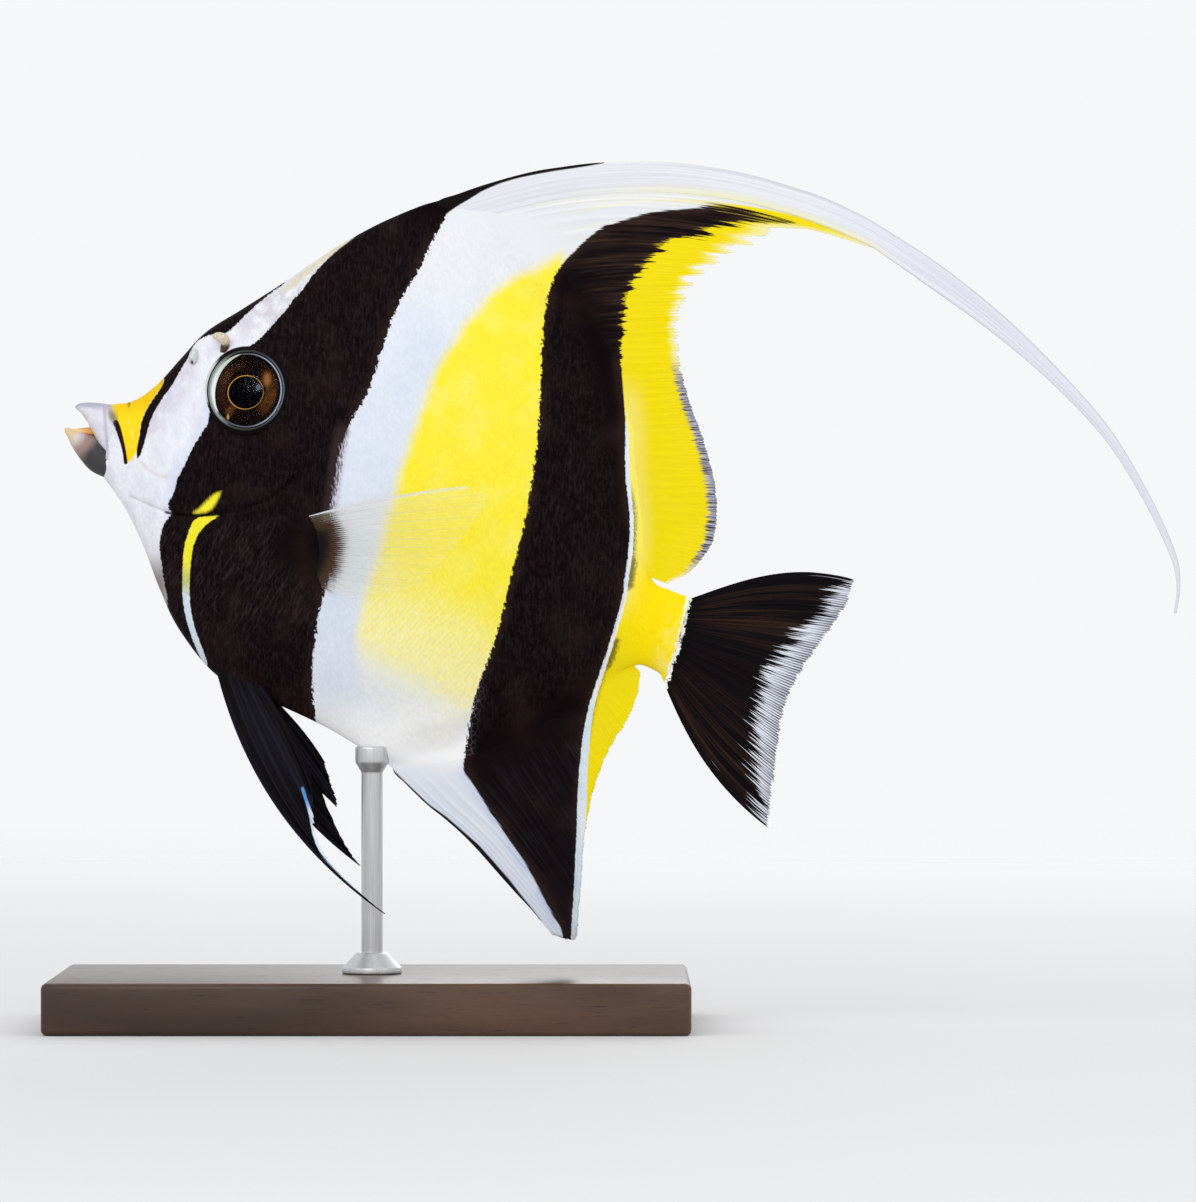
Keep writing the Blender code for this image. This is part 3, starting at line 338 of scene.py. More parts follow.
# Markings that are measured as one, those whose corners stay sharp, and where each kind is kept.
TOGETHER = {"bands": ("front_band", "rear_band"), "threads": ("upper_thread", "lower_thread"),
            "roots": ("dorsal_root", "anal_root")}
ANGULAR = ("tail_dark", "dorsal_dark", "anal_dark")
FIN_MARKS = ("bands", "yellow_belt", "yellow_rear", "pale_line", "roots", "threads", "dorsal_dark",
             "anal_dark")
SKIN_MARKS = (*FIN_MARKS, "face_pale", "brow_stripe", "saddle", "gill_stripe", "gill_wedge",
              "lip_line", "gill_edge", "cheek_edge", "throat_fold", "tail_line", "brow_cream",
              "lip_fold", "fuzz", "cheek_fold")
# Distances to a marking are kept up to this far from it.
FAR_AWAY = 12


# Mesh helpers.

def along(rows, keys):
    """The numbers of a table at each key, its first column, on a smooth curve through its rows."""
    table = np.array(rows, float)
    keys = np.atleast_1d(np.asarray(keys, float))
    last = len(table) - 2
    low = np.clip(np.searchsorted(table[:, 0], keys, side="right") - 1, 0, last)
    a, b = table[np.maximum(low - 1, 0)], table[low]
    c, d = table[low + 1], table[np.minimum(low + 2, last + 1)]
    span = (c - b)[:, :1]
    s = np.clip((keys[:, None] - b[:, :1]) / span, 0, 1)
    leave = (c - a) / (c - a)[:, :1] * span
    arrive = (d - b) / (d - b)[:, :1] * span
    values = (b * (1 + 2 * s) * (1 - s) ** 2 + leave * s * (1 - s) ** 2
              + c * s * s * (3 - 2 * s) - arrive * s * s * (1 - s))
    return values[:, 1:]


def by_length(points):
    """A table of the points keyed by their share of the line's length."""
    far = [0]
    for a, b in zip(points, points[1:]):
        far.append(far[-1] + math.dist(a, b))
    return [(f / far[-1], *p) for f, p in zip(far, points)]


def ease(value, low, high):
    """0 at low and 1 at high, smooth in between."""
    share = np.clip((value - low) / (high - low), 0, 1)
    return share * share * (3 - 2 * share)


def bell(distance, width):
    """1 where the distance is 0, falling off over the width."""
    return np.exp(-((distance / width) ** 2))


def primitive(kind, name, **settings):
    bpy.ops.object.select_all(action="DESELECT")
    getattr(bpy.ops.mesh, f"primitive_{kind}_add")(**settings)
    obj = bpy.context.object
    obj.name = obj.data.name = name
    return obj


def points_of(obj):
    points = np.zeros(len(obj.data.vertices) * 3)
    obj.data.vertices.foreach_get("co", points)
    return points.reshape(-1, 3)


def set_points(obj, *columns):
    """Moves the mesh's points to the given x, y and z, in millimetres."""
    points = np.stack(columns, 1) * MM
    obj.data.vertices.foreach_set("co", np.asarray(points, np.float32).ravel())
    obj.data.update()


def unit_ball(name, sides, rings):
    """A ball of radius 1 and its points."""
    ball = primitive("uv_sphere", name, segments=sides, ring_count=rings, radius=1)
    return ball, points_of(ball)


def outward(obj):
    """Turns the mesh's faces outwards where they all point inwards, and smooths it."""
    mesh = obj.data
    mesh.calc_loop_triangles()
    corners = np.zeros(len(mesh.loop_triangles) * 3, np.int32)
    mesh.loop_triangles.foreach_get("vertices", corners)
    triangles = points_of(obj)[corners].reshape(-1, 3, 3)
    if np.linalg.det(triangles).sum() < 0:
        mesh.flip_normals()
    mesh.shade_smooth()
    return obj


def select(obj):
    bpy.ops.object.select_all(action="DESELECT")
    bpy.context.view_layer.objects.active = obj
    obj.select_set(True)


def applied(obj, kind, **settings):
    """The object with one modifier added and applied."""
    modifier = obj.modifiers.new(kind.lower(), kind)
    for name, value in settings.items():
        setattr(modifier, name, value)
    select(obj)
    bpy.ops.object.modifier_apply(modifier=modifier.name)
    return obj


def smoothed(obj, degrees):
    """The object shaded smooth, apart from edges that bend more than that."""
    select(obj)
    bpy.ops.object.shade_smooth_by_angle(angle=math.radians(degrees))
    return obj


def moved(obj, matrix):
    obj.data.transform(matrix)
    obj.data.update()
    return obj


def mirrored(obj, name):
    """A copy of a left piece for the right side."""
    copy = obj.copy()
    copy.data = obj.data.copy()
    copy.name = copy.data.name = name
    bpy.context.scene.collection.objects.link(copy)
    set_points(copy, *(points_of(copy) / MM * (1, -1, 1)).T)
    copy.data.flip_normals()
    return copy


def side_view(points):
    """Where the points show in the side view, in millimetres; the right side as in a mirror."""
    x, y, z = (points / MM).T
    near = EYE_POINT_FAR / (EYE_POINT_FAR - np.abs(y))
    return np.stack([EYE_POINT_X + (x - EYE_POINT_X) * near,
                     EYE_POINT_Z + (z - EYE_POINT_Z) * near], 1)


def rounded(line, closed=False, steps=3):
    """A smooth line through the points."""
    line = np.array(line, float)
    count = len(line)
    found = []
    for n in range(count if closed else count - 1):
        near = [n - 1, n, n + 1, n + 2]
        a, b, c, d = (line[i % count if closed else min(max(i, 0), count - 1)] for i in near)
        for s in np.arange(steps) / steps:
            found.append(0.5 * (2 * b + (c - a) * s + (2 * a - 5 * b + 4 * c - d) * s * s
                                + (3 * b - a - 3 * c + d) * s ** 3))
    if not closed:
        found.append(line[-1])
    return np.array(found)


def line_distance(places, line, closed):
    """Distance from each place to a line, and whether the place is inside where it is closed."""
    ends = np.roll(line, -1, 0) if closed else line[1:]
    best = np.full(len(places), 1e9)
    inside = np.zeros(len(places), bool)
    x, z = places.T
    for a, b in zip(line, ends):
        step = b - a
        rel_x, rel_z = x - a[0], z - a[1]
        share = np.clip((rel_x * step[0] + rel_z * step[1]) / max(step @ step, 1e-12), 0, 1)
        best = np.minimum(best, (rel_x - share * step[0]) ** 2 + (rel_z - share * step[1]) ** 2)
        if closed and a[1] != b[1]:
            inside ^= ((a[1] > z) != (b[1] > z)) & (rel_x < step[0] * rel_z / step[1])
    return np.sqrt(best), inside


def distance_to(name, places):
    """Distance in millimetres to the named marking; inside an outline it is negative."""
    distance = np.full(len(places), float(FAR_AWAY))
    for part in TOGETHER.get(name, [name]):
        closed = part in OUTLINES
        line = OUTLINES[part] if closed else LINES[part]
        line = np.array(line, float) if part in ANGULAR else rounded(line, closed)
        low, high = line.min(0) - FAR_AWAY, line.max(0) + FAR_AWAY
        near = ((places > low) & (places < high)).all(1)
        if near.any():
            found, inside = line_distance(places[near], line, closed)
            found = np.minimum(found, FAR_AWAY * 3) * np.where(inside, -1, 1)
            distance[near] = np.minimum(distance[near], found)
    return distance


def keep(obj, name, values):
    """Stores a number on each of the piece's points, for its finish to read."""
    attribute = obj.data.attributes.new(name, "FLOAT", "POINT")
    attribute.data.foreach_set("value", np.asarray(values, np.float32))


def mark(obj, *names):
    """Keeps each named marking's distance on the piece."""
    places = side_view(points_of(obj))
    for name in names:
        keep(obj, name, distance_to(name, places))
    return obj


# Pieces of flesh.

def loft(name, rows, rings, sides, spread=None, evenness=0):
    """A closed body through a table of sections: a ball whose rings take the sections' shape."""
    ball, unit = unit_ball(name, sides, rings + 1)
    ring = np.rint(np.arccos(np.clip(unit[:, 2], -1, 1)) / np.pi * (rings + 1))
    share = np.clip(ring - 1, 0, rings - 1) / (rings - 1)
    key = along(spread, share)[:, 0] if spread else share * rows[-1][0]
    turn = np.arctan2(unit[:, 1], unit[:, 0])
    turn = turn - evenness * np.sin(2 * turn)
    reach = np.where((ring == 0) | (ring == rings + 1), 0, 1)
    back_x, back_z, belly_x, belly_z, width, narrowing = along(rows, key).T
    level, across = np.sin(turn) * reach, np.cos(turn)
    side = np.sign(across) * np.abs(across) ** (2 * narrowing) * reach
    set_points(ball, (back_x + belly_x) / 2 + (back_x - belly_x) / 2 * level, -side * width,
               (back_z + belly_z) / 2 + (back_z - belly_z) / 2 * level)
    return outward(ball)


def eye_share(places):
    """Distance from the eye's middle in the side view, as a share of its rim."""
    return np.hypot((places[:, 0] - EYE_X) / EYE_RADIUS,
                    (places[:, 1] - EYE_Z) / EYE_RADIUS / EYE_TALL)


def sculpt_skin(skin):
    """The relief of the head: eye sockets, gill plates and slits, folds and the nasal swelling."""
    points = points_of(skin)
    normals = np.zeros(points.size, np.float32)
    skin.data.vertex_normals.foreach_get("vector", normals)
    places = side_view(points)
    eye = eye_share(places)
    rise = SOCKET_RIM * bell(eye - 1.07, 0.07) - SOCKET_DEPTH * (1 - ease(eye, 0.72, 1))
    rise += GILL_PLATE_HEIGHT * ease(-distance_to("gill_plate", places), -0.3, 1.4)
    for name, depth, width in GROOVES:
        rise -= depth * bell(distance_to(name, places), width)
    for x, z, along_x, along_z, size, height in SWELLINGS:
        away = np.hypot((places[:, 0] - x) * along_x, (places[:, 1] - z) * along_z)
        rise += height * bell(away, size)
    rise *= ease(np.abs(points[:, 1]) / MM, 1, 3)
    set_points(skin, *(points / MM + normals.reshape(-1, 3) * rise[:, None]).T)


def draw_web(skin, rows, column, up, ends):
    """Draws the skin's back (up 1) or belly (up -1) out into a web, as far as the table says,
    and thins it towards its ridge between the two ends, where it runs over into a fin."""
    keys = np.linspace(rows[0][0], rows[-1][0], 1600)
    ridge = along(SECTIONS, keys)[:, column:column + 2]
    reach = np.maximum(along(rows, keys)[:, 0], 0)
    ahead = np.gradient(ridge, axis=0)
    ahead /= np.linalg.norm(ahead, axis=1)[:, None]
    out = np.stack([-ahead[:, 1], ahead[:, 0]], 1) * up
    thinner = ease(ridge[:, 0], ends[0], ends[0] + 8) * ease(ridge[:, 0], ends[1], ends[1] - 6)
    tree = KDTree(len(ridge))
    for index, (x, z) in enumerate(ridge):
        tree.insert((x, 0, z), index)
    tree.balance()
    points = points_of(skin) / MM
    for number in np.flatnonzero(np.abs(points[:, 1]) < 9):
        x, _, z = points[number]
        _, index, _ = tree.find((x, 0, z))
        if index in (0, len(ridge) - 1):
            continue
        depth = (ridge[index] - (x, z)) @ out[index]
        if reach[index] > 0.02:
            share = min(max(depth / (reach[index] * WEB_BEND), 0), 1)
            points[number, ::2] += out[index] * reach[index] * (1 - share)
            points[number, 1] *= share
        points[number, 1] *= 1 - thinner[index] * (1 - ease(depth, *WEB_THINS))
    set_points(skin, *points.T)


def make_skin():
    """The skin, and the shape that it had before its relief, on which the eyes are set."""
    skin = loft("skin", SECTIONS, SKIN_RING_COUNT, SKIN_SIDES, SKIN_RINGS, evenness=0.14)
    faces = [tuple(face.vertices) for face in skin.data.polygons]
    tree = BVHTree.FromPolygons([Vector(point) for point in points_of(skin)], faces)
    sculpt_skin(skin)
    draw_web(skin, DORSAL_WEB, 0, 1, DORSAL_THINS)
    draw_web(skin, ANAL_WEB, 2, -1, ANAL_THINS)
    mark(outward(skin), *SKIN_MARKS)
    keep(skin, "eye_share", eye_share(side_view(points_of(skin))))
    return skin, tree


def on_flank(tree, x, z):
    """The left flank's point where x, z shows in the side view, and the way out from it."""
    start = Vector((EYE_POINT_X, -EYE_POINT_FAR, EYE_POINT_Z)) * MM
    place, normal, _, _ = tree.ray_cast(start, (Vector((x, 0, z)) * MM - start).normalized())
    return place, normal


def facing(place, normal):
    """A frame at place whose +Z is normal and whose +Y stays as upright as it can."""
    forward = normal.normalized()
    across = Vector((0, 0, 1)).cross(forward).normalized()
    turn = Matrix((across, forward.cross(across), forward)).transposed().to_4x4()
    return Matrix.Translation(place) @ turn


def make_mouth():
    """The mouth's inside, between the lips: a soft wedge with a hollow towards the throat."""
    ball, unit = unit_ball("mouth", 40, 24)
    x, y, z = unit.T
    set_points(ball, -66.6 + 4.4 * x, (1.3 + 0.6 * x) * y,
               138.4 + (0.85 + 0.45 * x) * z + 0.15 * (1 - x) - 0.3 * y ** 2)
    return outward(ball)


def ring_profile(name, profile, steps):
    """A turned shape about +Z from a profile of radius and height, by spinning its line."""
    ring = primitive("circle", name, vertices=3, radius=1)
    mesh = bpy.data.meshes.new(name)
    mesh.from_pydata([(r, 0, h) for r, h in profile],
                     [(n, n + 1) for n in range(len(profile) - 1)], [])
    old, ring.data = ring.data, mesh
    bpy.data.meshes.remove(old)
    applied(ring, "SCREW", steps=steps, render_steps=steps, use_merge_vertices=True,
            merge_threshold=0.0000001)
    return outward(ring)


def make_eye(tree):
    """The left eye, as a maker of display models sets it: a painted iris under a clear dome,
    in a rim of skin."""
    matrix = facing(*on_flank(tree, EYE_X, EYE_Z)) @ Matrix.Diagonal((1, EYE_TALL, 1, 1))
    radius = EYE_RADIUS * MM
    pieces = []
    for name, profile in (("iris_l", IRIS), ("cornea_l", DOME), ("eye_rim_l", EYE_RIM)):
        profile = [(r * radius, h * MM) for r, h in rounded(profile, steps=5)]
        piece = ring_profile(name, profile, 96)
        ahead, above = points_of(piece)[:, :2].T / radius
        for kept, values in (("radius", np.hypot(ahead, above)), ("ahead", ahead), ("above", above)):
            keep(piece, kept, values)
        pieces.append(moved(piece, matrix))
    # The rim's middle is brought to where the eye's middle shows.
    seen = side_view(points_of(pieces[-1]))
    off_x, off_z = EYE_SEEN - (seen.min(0) + seen.max(0)) / 2
    return [moved(piece, Matrix.Translation((off_x * MM, 0, off_z * MM))) for piece in pieces]


def make_horn(tree):
    """The bony horn in front of the left eye: a closed, rounded tube that hooks up and forward."""
    place, normal = on_flank(tree, *HORN_ROOT)
    path = [place / MM + Vector((x, 0, z)) + normal * out for x, z, out, _ in HORN]
    keys = np.linspace(0, 1, len(HORN))
    rows = [(key, *point, row[-1]) for key, point, row in zip(keys, path, HORN)]
    ball, unit = unit_ball("horn_l", 28, 48)
    share = np.arccos(np.clip(unit[:, 2], -1, 1)) / np.pi
    turn = np.arctan2(unit[:, 1], unit[:, 0])
    middle = along(rows, share)
    ahead = along(rows, np.clip(share + 0.02, 0, 1)) - along(rows, np.clip(share - 0.02, 0, 1))
    ahead = ahead[:, :3] / np.linalg.norm(ahead[:, :3], axis=1)[:, None]
    up = np.array([0, 0, 1]) - ahead * ahead[:, 2:3]
    up /= np.linalg.norm(up, axis=1)[:, None]
    side = np.cross(ahead, up)
    radius = np.where(np.hypot(unit[:, 0], unit[:, 1]) < 1e-6, 0, middle[:, 3])[:, None]
    round_it = side * np.cos(turn)[:, None] + up * np.sin(turn)[:, None] * 1.1
    set_points(ball, *(middle[:, :3] + round_it * radius).T)
    keep(ball, "share", share)
    return outward(ball)


def make_nostril(tree):
    """The left nostril: a pale oval tube with a pit at its lower end, painted dark as the shade of
    its opening.
    """
    place, normal = on_flank(tree, *NOSTRIL_PLACE)
    ball, unit = unit_ball("nostril_l", 40, 28)
    x, y, z = unit.T
    pit = bell(np.hypot(x * 1.1, y * 1.9 + 1.45), 0.42) * (z > -0.1)
    keep(ball, "pit", pit)
    set_points(ball, x * 1.15, y * 1.95, z * 0.95 - pit * 0.9)
    return moved(outward(ball), facing(place + normal * 0.7 * MM, normal))


def make_stand():
    """The base, the collar and the rod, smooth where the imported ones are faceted."""
    low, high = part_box("stand_base")
    base = primitive("cube", "base_block", size=1, location=(low + high) / 2, scale=high - low)
    bpy.ops.object.transform_apply(location=True, rotation=True, scale=True)
    applied(base, "BEVEL", width=1.4 * MM, segments=4, limit_method="NONE")
    base.data.shade_smooth()
    smoothed(base, 20)
    floor = high.z / MM
    bend = np.linspace(0, math.pi / 2, 8)
    # Turned profiles: radius and height, the collar's height from the base's top.
    foot = [(6.6 + 0.38 * math.sin(b), 0.02 + 0.38 * (1 - math.cos(b))) for b in bend]
    collar = [(2.5, 0.02), (6.6, 0.02), *foot, (6.98, 1.2), (6.9, 1.5), (6.7, 1.7), (3.9, 4.6),
              (3.7, 4.82), (3.45, 4.97), (3.2, 5.01), (2.9, 5), (2.5, 4.9), (2.5, 0.02)]
    rod = [(0, floor + 0.05), (2.48, floor + 0.05), (2.49, 58.6), (2.52, 58.9), (2.66, 59.2),
           (3.8, 61.1), (3.92, 61.4), (3.97, 61.8), (3.98, 64.4), (3.94, 64.7), (3.8, 64.93),
           (3.6, 65), (0, 65)]
    turned = []
    for name, profile, up in (("collar_ring", collar, floor), ("rod_shaft", rod, 0)):
        profile = [(r * MM, (up + h) * MM) for r, h in profile]
        turned.append(smoothed(ring_profile(name, profile, 128), 30))
    return base, *turned


# Fins.

def turn_by(vector, degrees):
    angle = np.radians(degrees)
    x, z = vector.T
    return np.stack([x * np.cos(angle) - z * np.sin(angle),
                     x * np.sin(angle) + z * np.cos(angle)], 1)


def ray_points(start, rows, t):
    """Points of fin rays in the side view: t runs from 0 at the root to 1 at the edge."""
    end = rows[:, :2]
    chord = end - start
    first = start + turn_by(chord, rows[:, 2]) * LEAVE
    second = end - turn_by(chord, rows[:, 3]) * ARRIVE
    t = t[:, None]
    left = 1 - t
    return start * left**3 + first * 3 * left**2 * t + second * 3 * left * t**2 + end * t**3


def sunk(root):
    """The root line moved into the body."""
    found = []
    for place in root:
        away = Vector(INSIDE) - Vector(place)
        found.append(tuple(Vector(place) + away.normalized() * ROOT_DEPTH))
    return found


def fringe(s, rays, tips, depth, seed, broad):
    """How far each ray's split tips fall short of the edge, in millimetres. broad is how much of
    that is the dip between two rays."""
    count = rays * tips
    random = np.random.default_rng(seed)
    shorter = random.uniform(0.35, 1, count + 1)
    between = 0.5 - 0.5 * np.cos(2 * np.pi * s * count)
    big = 0.5 - 0.5 * np.cos(2 * np.pi * s * rays)
    own = shorter[np.rint(s * count).astype(int)]
    dips = random.uniform(0.6, 1.2, rays + 1)[np.rint(s * rays).astype(int)]
    return depth * ((0.85 - broad) * between**0.7 * own + broad * big * dips + 0.25 * (own - 0.35))


def pull(start, row, line, t):
    """How far a ray moves at each t so that it runs along the measured line."""
    trial = np.linspace(0, 1, 600)
    ray = ray_points(np.array(start), np.array(row)[None, :], trial)
    rows = [(0, 0, 0)]
    for point in line:
        nearest = int(np.argmin(((ray - point) ** 2).sum(1)))
        rows.append((trial[nearest], *(np.array(point) - ray[nearest])))
    return along(rows + [(1, 0, 0)], t)


def blade_weight(away, s, t, rays, thick=0.5, fade=3, thin=0.22):
    """Thickness in millimetres: a ridge on each ray that forks outwards, thick at the root."""
    one = (0.5 + 0.5 * np.cos(2 * np.pi * s * rays)) ** 3
    two = (0.5 + 0.5 * np.cos(4 * np.pi * s * rays)) ** 2
    fork = ease(t, 0.35, 0.75)
    ridge = (one * (1 - fork) + two * fork * 0.7) * 0.3 * (1 - 0.7 * t) * ease(away, *RIDGE_STARTS)
    return thin + 0.15 * (1 - t) + ridge + thick * np.exp(-away / fade)


def solid_sheet(sheet, places, y, thickness):
    """Gives the grid its place and a thickness that varies over it."""
    set_points(sheet, places[:, 0], y, places[:, 1])
    most = float(thickness.max())
    group = sheet.vertex_groups.new(name="thickness")
    for index, weight in enumerate(thickness / most):
        group.add([index], float(weight), "REPLACE")
    applied(sheet, "SOLIDIFY", thickness=most * MM, offset=0, vertex_group=group.name)
    sheet.vertex_groups.clear()
    return outward(sheet)


def grid(name, columns, rows):
    """A flat grid, with the share across and along of each of its points."""
    sheet = primitive("grid", name, x_subdivisions=columns, y_subdivisions=rows, size=1)
    points = points_of(sheet)
    return sheet, points[:, 0] + 0.5, points[:, 1] + 0.5


def fin(name, root, edge, shares, rays, size, depth, marks, seed, wave, tips=5, lean=None,
        leading=None, broad=0.25, **blade):
    """A fin between two shares of its root. size is its columns in each ray and its rows, depth
    a table of how deep its edge is frayed at each share, and leading its first ray's line."""
    sheet, s, t = grid(name, rays * size[0], size[1])
    share = shares[0] + (shares[1] - shares[0]) * s
    start = along(by_length(root), share)
    rows = along(edge, share)
    reach = np.hypot(*(rows[:, :2] - start).T)
    depth = along(depth, share)[:, 0]
    short = fringe(s, rays, tips, depth, seed, broad) / np.maximum(reach, 6 * depth)
    t = t - short * t**6
    places = ray_points(start, rows, t)
    if leading:
        places += pull(root[0], edge[0][1:], leading, t) * (1 - ease(s, 0, 0.35))[:, None]
    away = np.hypot(*(places - start).T)
    ripple = wave * t**1.5 * (np.sin(s * 19 + seed) + 0.6 * np.sin(s * 41 + 2 * t + seed))
    y = lean(away) if lean else np.zeros(len(s))
    solid = solid_sheet(sheet, places, y + ripple, blade_weight(away, s, t, rays, **blade))
    return mark(solid, *marks)


def dorsal_streamer(root):
    """The first dorsal rays and the streamer that they run out into, in one length."""
    sheet, s, v = grid("dorsal_streamer", 28, 190)
    t = np.clip(v / STREAMER_LEAVES, 0, 1)
    start = along(by_length(root), s * STREAMER_SHARE)
    in_fin = ray_points(start, along(DORSAL_TIP, s * STREAMER_SHARE), t)
    in_fin += pull(root[0], DORSAL_TIP[0][1:], DORSAL_LEADING, t) * ((1 - s) ** 1.2)[:, None]
    beyond = (v - STREAMER_LEAVES) / (1 - STREAMER_LEAVES)
    upper_x, upper_z, lower_x, lower_z = along(STREAMER, beyond * STREAMER[-1][0]).T
    trail = np.stack([upper_x + (lower_x - upper_x) * s, upper_z + (lower_z - upper_z) * s], 1)
    places = np.where((v > STREAMER_LEAVES)[:, None], trail, in_fin)
    middle = 1 - (2 * s - 1) ** 2
    away = np.hypot(*(in_fin - start).T)
    ridge = (0.5 + 0.5 * np.cos(2 * np.pi * s * RAYS["streamer"])) ** 2 * ease(away, *RIDGE_STARTS)
    weight = 0.3 + 0.4 * middle * (1 - 0.6 * np.clip(beyond, 0, 1)) * ease(away, 2, 12)
    weight += 0.2 * ridge * (1 - 0.7 * t) + 0.5 * np.exp(-away / 3)
    return mark(solid_sheet(sheet, places, np.zeros(len(s)), weight), *FIN_MARKS)


def make_fins(tree):
    dorsal, anal = sunk(DORSAL_ROOT), sunk(ANAL_ROOT)
    streamer = dorsal_streamer(dorsal)
    front = fin("dorsal_front", dorsal, DORSAL_EDGE, (STREAMER_SHARE, DORSAL_SPLIT), RAYS["front"],
                (20, 90), [(0.1, 0.3), (0.16, 1.6), (0.2, 4.4), (0.37, 5)], FIN_MARKS, 3, 0,
                broad=0.6)
    rear = fin("dorsal_rear", dorsal, DORSAL_EDGE, (DORSAL_SPLIT, 1), RAYS["rear"], (20, 40),
               [(0.37, 4.6), (0.45, 2.6), (0.55, 0.8), (1, 0.5)], FIN_MARKS, 5, 0.15, broad=0.35)
    belly = fin("anal_fin_sheet", anal, ANAL_EDGE, (0, 1), RAYS["anal"], (20, 60),
                [(0, 0.6), (1, 0.6)], FIN_MARKS, 7, 0.15, leading=ANAL_LEADING)
    tail = fin("tail_fan", TAIL_ROOT, TAIL_EDGE, (0, 1), RAYS["tail"], (20, 50),
               [(0, 0.9), (1, 1.3)], ["tail_dark", "tail_line"], 9, 0.3, thick=2.6, fade=6)
    root_y = abs(on_flank(tree, *PECTORAL_ROOT[1])[0].y) / MM

    def pectoral_lean(away):
        return -(root_y - PECTORAL_SUNK + PECTORAL_SPREAD * away - PECTORAL_CURVE * away * away)

    pectoral = fin("pectoral_l", PECTORAL_ROOT, PECTORAL_EDGE, (0, 1), RAYS["pectoral"], (14, 50),
                   [(0, 0.8), (1, 0.8)], ["pectoral_dark"], 11, 0.35, tips=3, lean=pectoral_lean,
                   thick=2.2, thin=0.16)
    pelvics = []
    for name, edge, side in (("pelvic_l", PELVIC_LEFT, -1), ("pelvic_r", PELVIC_RIGHT, 1)):
        def pelvic_lean(away, side=side):
            return side * (PELVIC_OUT + PELVIC_SPREAD * away)
        pelvics.append(fin(name, PELVIC_ROOT, edge, (0, 1), RAYS["pelvic"], (20, 70),
                           [(0, 0.8), (0.5, 1.1), (1, 2.2)], ["pelvic_streak"], 13 + side, 0.4,
                           tips=3, lean=pelvic_lean, thick=2.2, fade=4))
    return streamer, front, rear, belly, tail, pectoral, pelvics


# Finishes.

class Value:
    """One number or colour of a finish. Arithmetic on it adds Math nodes."""

    def __init__(self, finish, socket):
        self.finish, self.socket = finish, socket

    def math(self, operation, *others):
        inputs = dict(enumerate((self, *others)))
        return self.finish.node("Math", inputs, operation=operation)

    __add__ = __radd__ = partialmethod(math, "ADD")
    __mul__ = __rmul__ = partialmethod(math, "MULTIPLY")
    __sub__ = partialmethod(math, "SUBTRACT")
    __truediv__ = partialmethod(math, "DIVIDE")
    __pow__ = partialmethod(math, "POWER")
    highest = partialmethod(math, "MAXIMUM")

    def __rsub__(self, other):
        return self.finish.node("Math", {0: other, 1: self}, operation="SUBTRACT")

    def over(self, low, high):
        """0 below low and 1 above high, smooth in between; low may be the larger."""
        if low > high:
            return 1 - self.over(high, low)
        inputs = {"Value": self, "From Min": low, "From Max": high, "To Min": 0, "To Max": 1}
        return self.finish.node("MapRange", inputs, interpolation_type="SMOOTHSTEP")


